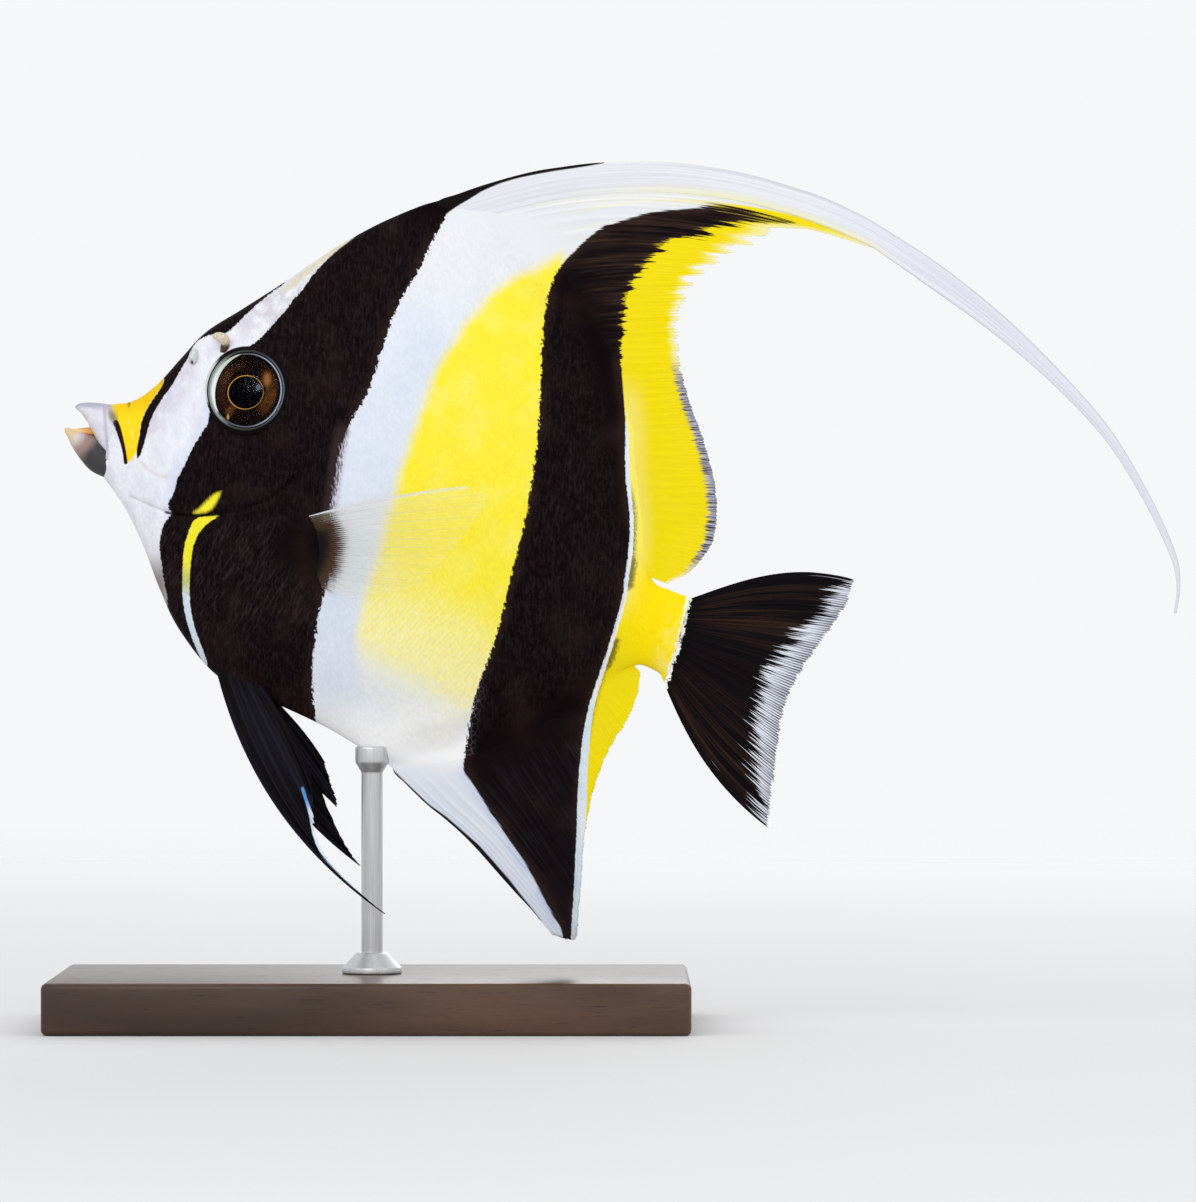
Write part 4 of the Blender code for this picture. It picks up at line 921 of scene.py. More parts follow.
class Finish:
    """A material under construction: its nodes, and its colour so far."""

    def __init__(self, name, colour=None, **constants):
        self.material = bpy.data.materials.new(name)
        self.material.use_nodes = True
        self.tree = self.material.node_tree
        self.shader = self.tree.nodes["Principled BSDF"]
        for socket, value in constants.items():
            self.shader.inputs[socket.replace("_", " ")].default_value = value
        self.colour = colour

    def node(self, kind, inputs=None, output=0, **settings):
        """A node of that kind: its settings first, then its sockets' values or links."""
        made = self.tree.nodes.new("ShaderNode" + kind)
        for name, value in settings.items():
            setattr(made, name, value)
        for name, value in (inputs or {}).items():
            if isinstance(value, Value):
                self.tree.links.new(value.socket, made.inputs[name])
            else:
                made.inputs[name].default_value = value
        return Value(self, made.outputs[output])

    def kept(self, name):
        """The number that keep stored under that name."""
        return self.node("Attribute", output="Fac", attribute_name=name)

    def place(self, *scale, turn=0):
        """The place on the object in millimetres, turned about y by those degrees, then
        stretched by three numbers or by one for all directions."""
        inner = self.node("TexCoord", output="Object")
        angles = (0, math.radians(turn), 0)
        turned = self.node("Mapping", {"Vector": inner, "Rotation": angles})
        sizes = tuple(1 / MM / s for s in (scale if len(scale) == 3 else scale * 3))
        return self.node("Mapping", {"Vector": turned, "Scale": sizes})

    def parts(self, vector=None):
        """A vector's three numbers; by default the place on the object in millimetres."""
        vector = vector or self.place(1)
        return [self.node("SeparateXYZ", {0: vector}, output=n) for n in range(3)]

    def fin_place(self, across, along_ray):
        """The place on a fin: how many times the pattern runs across the rays and along them."""
        inner = self.node("TexCoord", output="UV")
        return self.node("Mapping", {"Vector": inner, "Scale": (across, along_ray, 1)})

    def fin_shares(self):
        """The share across the fin's rays and the share along them."""
        return self.parts(self.node("TexCoord", output="UV"))[:2]

    def noise(self, place, detail=3, rough=0.55, shift=0):
        inputs = {"Vector": place, "Scale": 1, "Detail": detail, "Roughness": rough}
        if not shift:
            return self.node("TexNoise", inputs, output="Fac")
        inputs["W"] = shift
        return self.node("TexNoise", inputs, output="Fac", noise_dimensions="4D")

    def cells(self, place, feature, jitter):
        inputs = {"Vector": place, "Scale": 1, "Randomness": jitter}
        return self.node("TexVoronoi", inputs, output="Distance", feature=feature)

    def mix(self, share, first, second):
        """The first colour turning into the second as share goes from 0 to 1."""
        inputs = {0: share, 6: tint(first), 7: tint(second)}
        return self.node("Mix", inputs, output=2, data_type="RGBA", clamp_factor=True)

    def coat(self, share, colour):
        """Lays a colour over the finish's colour where share is 1."""
        self.colour = self.mix(share, self.colour, colour)

    def shade(self, colour, amount):
        """The colour times a number."""
        grey = self.node("CombineXYZ", {0: amount, 1: amount, 2: amount})
        return self.node("VectorMath", {0: colour, 1: grey}, operation="MULTIPLY")

    def done(self, height=None, depth=0, strength=0, **sockets):
        """The material, with its colour, the other sockets' values, and bumps of that depth in
        millimetres from a height that goes from 0 to 1."""
        sockets["Base_Color"] = self.colour
        if height:
            bump = {"Height": height, "Distance": depth * MM, "Strength": strength}
            sockets["Normal"] = self.node("Bump", bump, output="Normal")
        for name, value in sockets.items():
            self.tree.links.new(value.socket, self.shader.inputs[name.replace("_", " ")])
        return self.material


def tint(colour):
    return colour if isinstance(colour, Value) else (*colour, 1)


BLACK = (0.0048, 0.0022, 0.0028)
BROWN = (0.024, 0.012, 0.0095)
UMBER = (0.05, 0.032, 0.031)
LINE_BLACK = (0.02, 0.009, 0.008)
# Painted shade for the gill slit and the cheek's edge.
SLIT_SHADE = (0.002, 0.001, 0.001)
WHITE = (0.74, 0.755, 0.8)
LILAC = (0.59, 0.65, 0.75)
BLUE = (0.5, 0.62, 0.75)
YELLOW = (0.86, 0.74, 0.04)
LEMON = (0.86, 0.79, 0.26)
DEEP_YELLOW = (0.81, 0.65, 0.004)
GOLD = (0.93, 0.62, 0.011)
GILL_YELLOW = (0.8, 0.72, 0.03)
CREAM = (0.88, 0.87, 0.78)


def markings(f, drift, soft):
    """The body's and the fins' markings. drift moves the edges, in mm, and soft widens them."""
    x, _, z = f.parts()
    line = f.kept("pale_line")
    bands = f.kept("bands") + drift * (line.over(0.8, 4) * 0.8 + 0.2)
    cloud = f.noise(f.place(7), shift=3)
    cool = f.noise(f.place(10, 16, 14), shift=2).over(0.35, 0.7)
    # The belt's yellow thins out below into slanting rows of short strokes.
    slope = z + x * 0.55
    row = f.parts(f.place(2.2, 60, 1.12, turn=46))[2]
    row = ray_lines(row + f.noise(f.place(4, 30, 4), shift=12) * 1.8, 1)
    strokes = f.noise(f.place(1.8, 8, 0.5, turn=48), 2, 0.6, 13)
    broken = f.noise(f.place(1, 8, 0.9, turn=60), 1, shift=19)
    strokes = row * 0.26 + strokes * 0.8 + broken * 0.65 - 0.365
    cover = slope.over(73, 101) + (cloud - 0.5) * 0.25
    dense = (cover * 2 - 0.95 + strokes).over(-0.1, 1)
    edge = f.kept("yellow_belt") + (cloud - 0.5) * 2.5 + (1 - cover) * 2.5 + drift * 0.6
    inside = edge.over(1.5, -2.6)
    yellow = f.mix(cloud.over(0.4, 0.75) * 0.3, YELLOW, LEMON)
    yellow = f.mix(slope.over(118, 86) * 0.85, yellow, (0.85, 0.79, 0.36))
    sparse = slope.over(116, 98) * strokes.over(0.62, 0.25) * 0.5
    yellow = f.mix(sparse, yellow, (0.84, 0.82, 0.58))
    f.colour = f.mix(cool * 0.4 + z.over(62, 84) * z.over(176, 150) * 0.5, WHITE, LILAC)
    # Painted light: the lower flank is painted paler, where it faces down into shade.
    f.coat(z.over(79, 67) * z.over(58, 64), (0.89, 0.89, 0.885))
    f.coat(z.over(60, 54) * 0.6, (0.64, 0.67, 0.75))
    f.coat(z.over(160, 178) * 0.7, (0.71, 0.72, 0.725))
    f.coat(inside * slope.over(70, 84) * slope.over(118, 96) * 0.5, (0.84, 0.82, 0.66))
    f.coat(inside * dense, yellow)
    # Bluish beside the black of the lower fin.
    f.coat(bands.over(2.6, 0.2) * z.over(66, 52) * cloud.over(0.3, 0.55) * 0.75, (0.46, 0.56, 0.76))
    beside = line.over(6.5, 0.8) * z.over(154, 142) * z.over(92, 104) * 0.5
    deep = f.mix((cloud.over(0.35, 0.75) * 0.03).highest(beside), DEEP_YELLOW, LEMON)
    f.coat(f.kept("yellow_rear").over(0.3, -0.3), deep)
    # A dark smear behind the pale line, down to the tail stalk and again below it.
    upper = z.over(128, 121) * z.over(100.5, 102.5)
    below = (z.over(91, 89) * (z.over(82, 85) + z.over(62, 70) * 0.6)).over(0, 1)
    spread = z.over(111, 106) * upper * 0.9 + z.over(82, 85) * below * 0.7
    specks = f.noise(f.place(0.55, 8, 0.7), 3, 0.7, 14)
    reach = line + drift * 0.3 - spread
    smear = (reach + (specks - 0.5) * 3.4).over(1.5, 0.3) * 0.65 + reach.over(1.7, 0.5) * 0.3
    f.coat(smear * bands.over(-0.4, 0.6) * (upper + below) * 0.8, (0.026, 0.016, 0.008))
    brown = bands.over(-3, -0.2) * 0.3 + f.noise(f.place(11), 1, shift=6) - 0.3
    f.coat(bands.over(soft, -soft), f.mix(brown.over(0.15, 0.7) * 0.85, BLACK, BROWN))
    width = line + drift * 0.3 + z.over(134, 148) * 0.6 - z.over(84, 56) * 0.55
    blue = f.mix(cool, (0.7, 0.76, 0.8), BLUE)
    blue = f.mix(z.over(104, 98) * z.over(70, 80) * 0.7, blue, (0.8, 0.79, 0.74))
    f.coat(width.over(0.6, 0.34), blue)


def paint_face(f, x, z, drift, grain, blush):
    """The pale face and the yellow saddle on the snout. It returns the distance to the face."""
    face = f.kept("face_pale") + drift * 0.7
    pearl = f.mix(f.noise(f.place(2.5, 2.5, 6), shift=5).over(0.35, 0.7), WHITE, (0.66, 0.66, 0.73))
    flush = f.kept("brow_stripe").over(5.5, 0.5) * z.over(134, 139) * z.over(158, 152)
    edge = face.over(-2.8, -0.3) * x.over(-50, -46) * z.over(152, 146)
    for share, colour in [(z.over(122, 104) * 0.35, (0.6, 0.6, 0.59)),
                          (z.over(112, 103) * 0.85, (0.2, 0.13, 0.1)),
                          (z.over(158, 166) * blush.over(0.35, 0.65) * 0.55, (0.44, 0.39, 0.42)),
                          (flush * blush.over(0.25, 0.6) * 0.6, (0.52, 0.45, 0.55)),
                          (edge * 0.4, (0.5, 0.59, 0.82)),
                          # Painted shade along the cheek's fold.
                          (f.kept("cheek_fold").over(0.7, 0) * 0.3, (0.5, 0.36, 0.26))]:
        pearl = f.mix(share, pearl, colour)
    f.coat(face.over(0.14, -0.14), pearl)
    cream = f.kept("brow_cream").over(1, 0.3) * f.kept("face_pale").over(0.3, -0.3)
    f.coat(cream * 0.7, (0.62, 0.55, 0.34))
    # Painted light on the saddle: its gold is painted darker towards the top and in a small pit, as
    # painted shade, and paler on its folds, as painted highlights.
    pit = (((x + 56.6) * 2.4) ** 2 + (z - 144.9) ** 2) ** 0.5 + (grain - 0.5) * 0.8
    folds = f.noise(f.place(0.5, 9, 3, turn=12), 2, shift=9)
    gold = f.mix(grain.over(0.4, 0.8) * 0.4, GOLD, (0.8, 0.6, 0.02))
    gold = f.mix(z.over(141, 146) * 0.5, gold, (0.62, 0.38, 0.006))
    gold = f.mix(pit.over(1.5, 0.2) * 0.6, gold, (0.06, 0.045, 0.01))
    gold = f.mix(folds.over(0.55, 0.75) * z.over(146, 138) * 0.4, gold, (0.86, 0.8, 0.36))
    f.coat((f.kept("saddle") + drift * 0.3).over(0.12, -0.12), gold)
    return face


def paint_stalk(f, x, z, drift, strokes, ragged, blush):
    """The tail stalk's deep yellow, and the pale line before the tail."""
    stalk = x.over(56, 64) * z.over(110, 102) * z.over(70, 78)
    stalk = stalk * f.kept("pale_line").over(0.8, 2.4) * f.kept("bands").over(-0.1, 0.4)
    f.coat(stalk * 0.8, (0.9, 0.68, 0.004))
    level = x - z * 0.28
    paler = level.over(40, 46) * (blush + (z - 90) * -0.012).over(0.35, 0.65)
    f.coat(paler * stalk * 0.55, (0.9, 0.76, 0.22))
    tail = f.kept("tail_line") + drift * 0.6 + (strokes - 0.5) * 0.8
    tail = tail + (f.noise(f.place(1.1, 4, 1.1), 1, shift=17) - 0.5) * 0.9
    f.coat(tail.over(0.68, 0.46), CREAM)
    beyond = level + (ragged - 0.5) * 1.5
    f.coat(beyond.over(46.6, 46.9) * stalk, CREAM)
    f.coat(beyond.over(48, 48.3) * stalk, (0.012, 0.007, 0.007))


def skin_finish():
    f = Finish("idol_skin", Specular_IOR_Level=0.015)
    x, _, z = f.parts()
    grain = f.noise(f.place(0.5, 0.8, 0.7), 2)
    scales = f.cells(f.place(0.95, 60, 1.25, turn=33), "F1", 0.8)
    strokes = f.noise(f.place(0.3, 6, 1.7, turn=9), 3, 0.6, 4)
    ragged = f.noise(f.place(0.55, 4, 1.1), 3, 0.65, 8)
    blush = f.noise(f.place(1.6, 4, 2.4, turn=-40), shift=16)
    away = f.kept("roots").over(0, 7)
    drift = (grain - 0.5) * 1.3
    markings(f, drift + (ragged - 0.5) * 2.6, 0.14)
    bands = f.kept("bands")
    dark = bands.over(0.2, -0.2)
    for wedge in ("dorsal_dark", "anal_dark"):
        f.coat(f.kept(wedge).over(0.2, -0.3), BLACK)
    # Behind the first dark band black and lilac run into each other in fine strokes.
    fine = f.noise(f.place(0.32, 4, 1.5, turn=9), 2, 0.6, 15)
    pale = (fine + (bands - 0.5) * 0.14).over(0.44, 0.6)
    fuzz = f.mix(pale, (0.03, 0.018, 0.018), (0.5, 0.48, 0.58))
    f.coat(f.kept("fuzz").over(2.6, 0.9) * 0.85, fuzz)
    face = paint_face(f, x, z, drift, grain, blush)
    stripe = f.kept("brow_stripe") + drift * 0.4
    f.coat(stripe.over(0.12, -0.12), (0.01, 0.005, 0.005))
    lip_line = f.kept("lip_line") + drift * 0.1 - z.over(134, 140) * 0.22
    smudge = lip_line.over(2.6, 0.2) * z.over(138.5, 141) * x.over(-58.7, -59.7)
    f.coat(smudge * 0.85, (0.14, 0.115, 0.05))
    f.coat(lip_line.over(0.54, 0.32), LINE_BLACK)
    # Painted shade in the lip's fold.
    f.coat(f.kept("lip_fold").over(0.5, 0.1) * 0.45, (0.25, 0.22, 0.3))
    # The gill stripe turns from yellow to pale blue downwards.
    turning = z + (strokes - 0.5) * 5
    gill_colour = f.mix(turning.over(109, 103), GILL_YELLOW, (0.46, 0.48, 0.16))
    gill_colour = f.mix(turning.over(104, 98.5), gill_colour, (0.6, 0.68, 0.76))
    gill = f.kept("gill_stripe") + drift * 0.35
    f.coat(gill.over(0.12, -0.12), gill_colour)
    above = z + x * 0.6 - 101
    wedge = f.kept("gill_wedge") + (strokes - 0.5) + above.over(0, 5) * 1.1
    f.coat(wedge.over(0.6, -0.6), GILL_YELLOW)
    # Painted shade in the gill slit, along the cheek's edge and in the throat's fold, over their
    # grooves.
    f.coat(f.kept("gill_edge").over(0.5, 0.15) * 0.9, SLIT_SHADE)
    f.coat(f.kept("cheek_edge").over(0.5, 0.1) * 0.6, SLIT_SHADE)
    f.coat(f.kept("throat_fold").over(0.4, 0.1) * 0.35, (0.25, 0.22, 0.24))
    paint_stalk(f, x, z, drift, strokes, ragged, blush)
    eye = f.kept("eye_share")
    f.coat(eye.over(1.09, 1.03) * eye.over(0, 0.9), BLACK)
    # Light strokes and scale rims on the black, away from the markings and the fins' roots.
    root = ((x + 15.5) ** 2 + (z - 111) ** 2) ** 0.5
    free = dark * face.over(-0.2, 0.3) * gill.over(-0.2, 0.3) * wedge.over(-0.3, 0.8)
    free = free * away * stripe.over(-0.2, 0.3) * root.over(3.5, 10)
    hairs = f.noise(f.place(0.48, 6, 2.6, turn=-4), 3, 0.6, 11)
    flow = f.noise(f.place(4, 8, 0.62, turn=60), 2, 0.5, 18).over(0.5, 0.68)
    flow = flow * x.over(-5, -12) * z.over(84, 98) * z.over(120, 114)
    light = hairs.over(0.44, 0.72) * 0.22 + flow * 0.26 + scales.over(0.45, 0.85) * 0.1
    f.coat(light * free, f.mix(grain, UMBER, (0.046, 0.036, 0.04)))
    # A net of pale scale rims along the rear band's lower front edge.
    net = f.cells(f.place(1.1, 60, 1.5), "DISTANCE_TO_EDGE", 0.9)
    border = bands.over(-2.8, -0.5) * x.over(34, 28) * z.over(46, 58) * z.over(84, 74)
    border = border * x.over(12, 16) * dark
    f.coat(net.over(0.09, 0.02) * border * 0.15, (0.34, 0.36, 0.5))
    # Painted shade: rows of small shadows at the scale rims and strokes, as much on the pale parts,
    # and the back darkened towards the fins' roots, where the skin turns up to the light.
    rims = scales.over(0.3, 0.8) * away
    ridge = f.kept("roots").over(8, 0) * z.over(150, 165)
    shadow = rims * 0.04 + strokes.over(0.3, 0.7) * away * 0.05 + ridge * 0.045
    f.colour = f.shade(f.colour, 1.03 - shadow)
    height = strokes * 0.6 + grain * 0.3 - rims * 0.5
    return f.done(height * (0.35 + dark * 0.65), 0.14, 0.6, Roughness=0.42 + grain * 0.14)


def ray_lines(share, rays):
    """1 on a fin's rays and 0 between them."""
    return (share * (rays * 2 * math.pi)).math("COSINE") * 0.5 + 0.5


def streamer_finish(rays):
    f = Finish("streamer_skin", Specular_IOR_Level=0.06)
    across, out = f.fin_shares()
    x = f.parts()[0]
    streaks = f.noise(f.fin_place(rays * 4, 5), 3, 0.5, 2)
    fine = f.noise(f.fin_place(rays * 10, 24), 2, 0.5, 5)
    lines = ray_lines(across, rays * 2)
    f.colour = f.mix(streaks.over(0.35, 0.7), (0.64, 0.65, 0.69), (0.74, 0.75, 0.78))
    f.coat(x.over(90, 130), f.mix(streaks.over(0.3, 0.7), (0.62, 0.63, 0.715), (0.76, 0.765, 0.815)))
    under = across.over(0.62, 0.98) * out.over(0.1, 0.3) * x.over(126, 112)
    f.coat(under * (0.35 + streaks * 0.5), (0.84, 0.8, 0.34))
    edges = across.over(0.12, 0) * 0.6 + across.over(0.9, 1) * 0.4
    f.coat(edges * x.over(60, 110) + x.over(110, 175) * 0.15, (0.4, 0.4, 0.46))
    f.coat((f.kept("dorsal_dark") + (fine - 0.5) * 0.4).over(0.15, -0.2), BLACK)
    f.coat(f.kept("bands").over(0.15, -0.15), BLACK)
    f.colour = f.shade(f.colour, 0.95 + lines * 0.04 + fine * 0.04)
    return f.done(lines * 0.4 + streaks * 0.4, 0.08, 0.4, Roughness=0.42 + fine * 0.12)


def fin_finish(name, rays, ragged, frayed=None, seed=1):
    """The markings on a fin. Their edges run out along the rays by up to ragged millimetres.
    frayed is the shares of the fin between which its edge is grey."""
    f = Finish(name, Specular_IOR_Level=0.03)
    across, out = f.fin_shares()
    x, _, z = f.parts()
    away = f.kept("roots").over(0.5, 9)
    broad = f.noise(f.fin_place(rays * 1.7, 0.8), 2, 0.5, seed + 1)
    streaks = f.noise(f.fin_place(rays * 5, 2.2), 3, 0.6, seed)
    fine = f.noise(f.fin_place(rays * 14, 6), 2, 0.5, seed + 3)
    uneven = broad - 0.5 + (streaks - 0.5) * 1.2
    wild = f.kept("yellow_rear").over(2, -2) * 0.85 + 0.15
    wild = wild * (z.over(148, 170) * 0.85 + 0.15).highest(z.over(72, 60) * 0.5)
    markings(f, uneven * wild * ragged * out.over(0, 0.5) + (fine - 0.5) * 1.4, 0.18)
    main, split, finest = (ray_lines(across, rays * times) for times in (1, 2, 5))
    forked, tips = out.over(0.3, 0.6), out.over(0.6, 0.85)
    lines = (main * (1 - forked) + (split * (1 - tips) + finest * tips) * forked) * away
    bands = f.kept("bands")
    dark = bands.over(0.2, -0.2)
    # Lighter streaks along the rays on the black: brown as the fin's own colour, and bluish on the
    # lower fin as a painted sheen.
    light = (streaks.over(0.48, 0.8) * 0.5 + lines.over(0.6, 1) * 0.15) * dark * away
    f.coat(light * 0.7, f.mix(z.over(80, 70), UMBER, (0.036, 0.034, 0.05)))
    strands = (broad * 0.5 + streaks * 0.7).over(0.52, 0.75) * dark * z.over(146, 164) * away
    f.coat(strands * 0.75, (0.042, 0.022, 0.015))
    thread = f.kept("threads").over(0.55, 0.05) * x.over(42, 58) * (0.3 + streaks * 0.6)
    f.coat(thread * bands.over(0.2, 2), (0.84, 0.8, 0.46))
    over = z.over(190.6, 191.6) * x.over(90, 72) * bands.over(0.1, 0.6)
    f.coat(over * 0.65, (0.78, 0.78, 0.72))
    f.coat(f.kept("dorsal_dark").over(0.15, -0.2), BLACK)
    # The black leading band of the lower fin has a bluish border.
    lower = f.kept("anal_dark") + (fine - 0.5) * 0.5
    tinge = lower.over(4, 0.3) * z.over(62, 54) * (0.15 + lines * 0.3)
    f.coat(tinge * (1 - dark), (0.58, 0.66, 0.8))
    f.coat(lower.over(0.2, -0.25), (0.008, 0.007, 0.01))
    # Painted light: the fins are painted a little paler near their roots on the back, where they
    # meet the skin's lighter shading.
    near = f.kept("roots").over(8, 0) * z.over(150, 165) * 0.045
    amount = 0.97 + near + (lines - 0.5) * 0.04 + (streaks - 0.5) * away * 0.08
    f.colour = f.shade(f.colour, amount)
    if frayed:
        zone = across.over(frayed[0], frayed[0] + 0.12) * across.over(frayed[1], frayed[1] - 0.1)
        edge = (out + (streaks - 0.5) * 0.16 + (fine - 0.5) * 0.1).over(0.9, 0.95)
        f.coat(edge * zone, f.mix(fine.over(0.4, 0.62), (0.42, 0.42, 0.5), (0.04, 0.034, 0.058)))
        tip = (out + (streaks - 0.5) * 0.2).over(0.9, 1) * (1 - zone)
        f.coat(tip * 0.6, f.mix(dark, (0.82, 0.82, 0.6), BLACK))
    return f.done(lines * 0.5 + streaks * away * 0.5, 0.1, 0.5, Roughness=0.42 + fine * 0.15)


def tail_finish(rays):
    f = Finish("tail_skin", Specular_IOR_Level=0.03)
    across, out = f.fin_shares()
    streaks = f.noise(f.fin_place(rays * 2.2, 0.9), 3, 0.6, 7)
    fine = f.noise(f.fin_place(rays * 9, 1.4), 2, 0.6, 6)
    hair = f.noise(f.fin_place(rays * 14, 1.6), 2, 0.6, 5)
    main, lines, rows = (ray_lines(across, rays * times) for times in (1, 3, 6))
    brown = (streaks * 1.1 + main * 0.12 + fine * 0.45 - 0.36).over(0.34, 0.66)
    outer = (across.over(0.42, 0.26) + across.over(0.6, 0.8)) * across.over(0.02, 0.1)
    brown = brown * out.over(0.02, 0.25) * (outer * across.over(0.99, 0.92) * 0.85 + 0.15)
    f.colour = f.mix(brown, (0.004, 0.0026, 0.0038), (0.029, 0.014, 0.009))
    f.colour = f.shade(f.colour, 0.35 + lines * 0.25 + fine * 0.9)
    rows = rows * 0.45 + fine * 0.9 - out.over(0.9, 1) * 0.08
    margin = f.mix(rows.over(0.46, 0.9), (0.13, 0.13, 0.16), (0.66, 0.68, 0.75))
    dark = f.kept("tail_dark")
    margin = f.mix(dark.over(5, 0.5) * streaks.over(0.4, 0.6) * 0.7, margin, (0.7, 0.75, 0.82))
    spikes = (fine - 0.5) * 12 + (streaks - 0.5) * 12 + (hair - 0.5) * 8
    f.coat((dark + spikes * out.over(0.25, 0.65)).over(-0.35, 0.65), margin)
    wave = f.noise(f.place(0.9, 4, 0.9), 2, shift=17)
    root = f.kept("tail_line") + (fine - 0.5) + (wave - 0.5) * 2.4
    f.coat(root.over(0.65, 0.3) * out.over(0.15, 0.08), CREAM)
    f.coat(out.over(0.055, 0.035), DEEP_YELLOW)
    return f.done(lines * 0.3 + main * 0.3 + hair * 0.4, 0.16, 0.6, Roughness=0.42 + streaks * 0.12)


def pectoral_finish(rays):
    f = Finish("pectoral_skin", Roughness=0.38, Specular_IOR_Level=0.08)
    across, out = f.fin_shares()
    streaks = f.noise(f.fin_place(rays * 4, 2), 3, 0.6, 8)
    main, split = ray_lines(across, rays), ray_lines(across, rays * 3)
    lines = main.over(0.8, 0.99).highest(split.over(0.86, 1) * out.over(0.25, 0.5) * 0.7)
    hair = f.noise(f.fin_place(rays * 12, 2), 2, 0.6, 4)
    depth = f.kept("pectoral_dark")
    spikes = (streaks - 0.5) * 3 + (hair - 0.5) * 4 - (split - 0.5) * 2.4
    dark = (depth + spikes).over(1.2, -2)
    spine = across.over(0.035, 0.01)
    f.colour = f.mix(lines * 0.6, (0.82, 0.8, 0.62), (0.52, 0.52, 0.5))
    f.coat(spine, (0.74, 0.75, 0.78))
    brown = f.mix(split.over(0.3, 0.9) * 0.6 + hair * 0.3, (0.11, 0.06, 0.034), (0.02, 0.009, 0.006))
    brown = f.mix(depth.over(-0.6, -4.2), brown, (0.0055, 0.003, 0.003))
    f.coat(dark.over(0.05, 0.4), brown)
    fade = 1 - out.over(0.3, 1) * 0.65
    alpha = ((0.11 + lines * 0.13 + spine * 0.6) * fade).highest(dark)
    return f.done(lines, 0.08, 0.4, Alpha=alpha)


def pelvic_finish(rays):
    f = Finish("pelvic_skin", Roughness=0.45, Specular_IOR_Level=0.03)
    across = f.fin_shares()[0]
    _, y, z = f.parts()
    streaks = f.noise(f.fin_place(rays * 6, 3), 3, 0.6, 9)
    broad = f.noise(f.fin_place(rays * 0.9, 0.7), 2, 0.5, 20)
    lines = ray_lines(across, rays * 2)
    f.colour = f.mix(streaks.over(0.5, 0.85) * 0.6, (0.0048, 0.0036, 0.005), (0.02, 0.016, 0.019))
    # Painted sheen: broad bluish patches over the black blade.
    f.coat(broad.over(0.45, 0.65) * 0.6, (0.014, 0.014, 0.024))
    f.colour = f.shade(f.colour, 0.7 + lines * 0.5)
    wider = z.over(52, 46) * z.over(34, 42) * 0.3
    streak = f.kept("pelvic_streak") + (streaks - 0.5) * 0.5 - wider
    pale = f.mix(z.over(53, 49), (0.1, 0.28, 0.58), (0.68, 0.8, 0.9))
    f.coat(streak.over(0.5, 0.2) * y.over(0.5, -0.5), pale)
    return f.done(lines * 0.5 + streaks * 0.5, 0.16, 0.6)


def lip_finish(chin):
    f = Finish("chin_skin" if chin else "lip_skin", Specular_IOR_Level=0.2)
    x, _, z = f.parts()
    grain = f.noise(f.place(0.7))
    bloom = f.noise(f.place(2.5), 2, shift=2)
    f.colour = f.mix(bloom.over(0.35, 0.7), (0.64, 0.64, 0.7), (0.59, 0.55, 0.6))
    # Painted shade in the lip's fold.
    f.coat(f.kept("lip_fold").over(0.6, 0.1) * 0.4, (0.22, 0.2, 0.3))
    if chin:
        depth = x * 0.75 - z * 0.66 + (bloom - 0.5) * 2
        f.coat((x + bloom * 2).over(-66, -69.5), (0.6, 0.47, 0.38))
        f.coat(depth.over(-142.5, -139.5), (0.3, 0.2, 0.17))
        f.coat(depth.over(-139.8, -136.5), (0.046, 0.041, 0.048))
        f.coat((z - x * 0.33 - 160.6).over(-0.35, 0.25) * 0.7, (0.7, 0.47, 0.22))
    else:
        f.coat((z + (bloom - 0.5)).over(143.2, 144.8) * 0.75, (0.3, 0.3, 0.42))
        f.coat(f.kept("lip_edge").over(0.45, 0.15) * 0.6, (0.66, 0.44, 0.26))
        f.coat(f.kept("saddle").over(0.7, -0.5), (0.76, 0.5, 0.008))
        lean = (x + 60.35 + (z - 142) * 0.4) / 1.3
        olive = (lean ** 2 + ((z - 141.8) / 2.9) ** 2) ** 0.5 + (bloom - 0.5) * 0.6
        f.coat(olive.over(1.2, 0.1) * 0.85, (0.15, 0.125, 0.06))
        line = f.kept("lip_line") + (grain - 0.5) * 0.25 - z.over(139, 140.2) * 0.25
        f.coat(line.over(0.62, 0.34), LINE_BLACK)
    f.colour = f.shade(f.colour, 0.94 + grain * 0.12)
    return f.done(grain, 0.08, 0.5, Roughness=0.34 + grain * 0.15)


def mouth_finish():
    f = Finish("mouth_lining", Roughness=0.35, Specular_IOR_Level=0.3)
    grain = f.noise(f.place(0.6))
    outer = (f.parts()[0] + grain * 2).over(-64, -69)
    f.colour = f.mix(outer, (0.62, 0.26, 0.035), (0.8, 0.6, 0.3))
    return f.done(grain, 0.1, 0.5)


def from_point(ahead, above, x, z, tall=1, wide=1):
    """Distance from a point of the eye, on which ahead and above measure the place."""
    return (((ahead - x) * wide) ** 2 + ((above - z) * tall) ** 2) ** 0.5


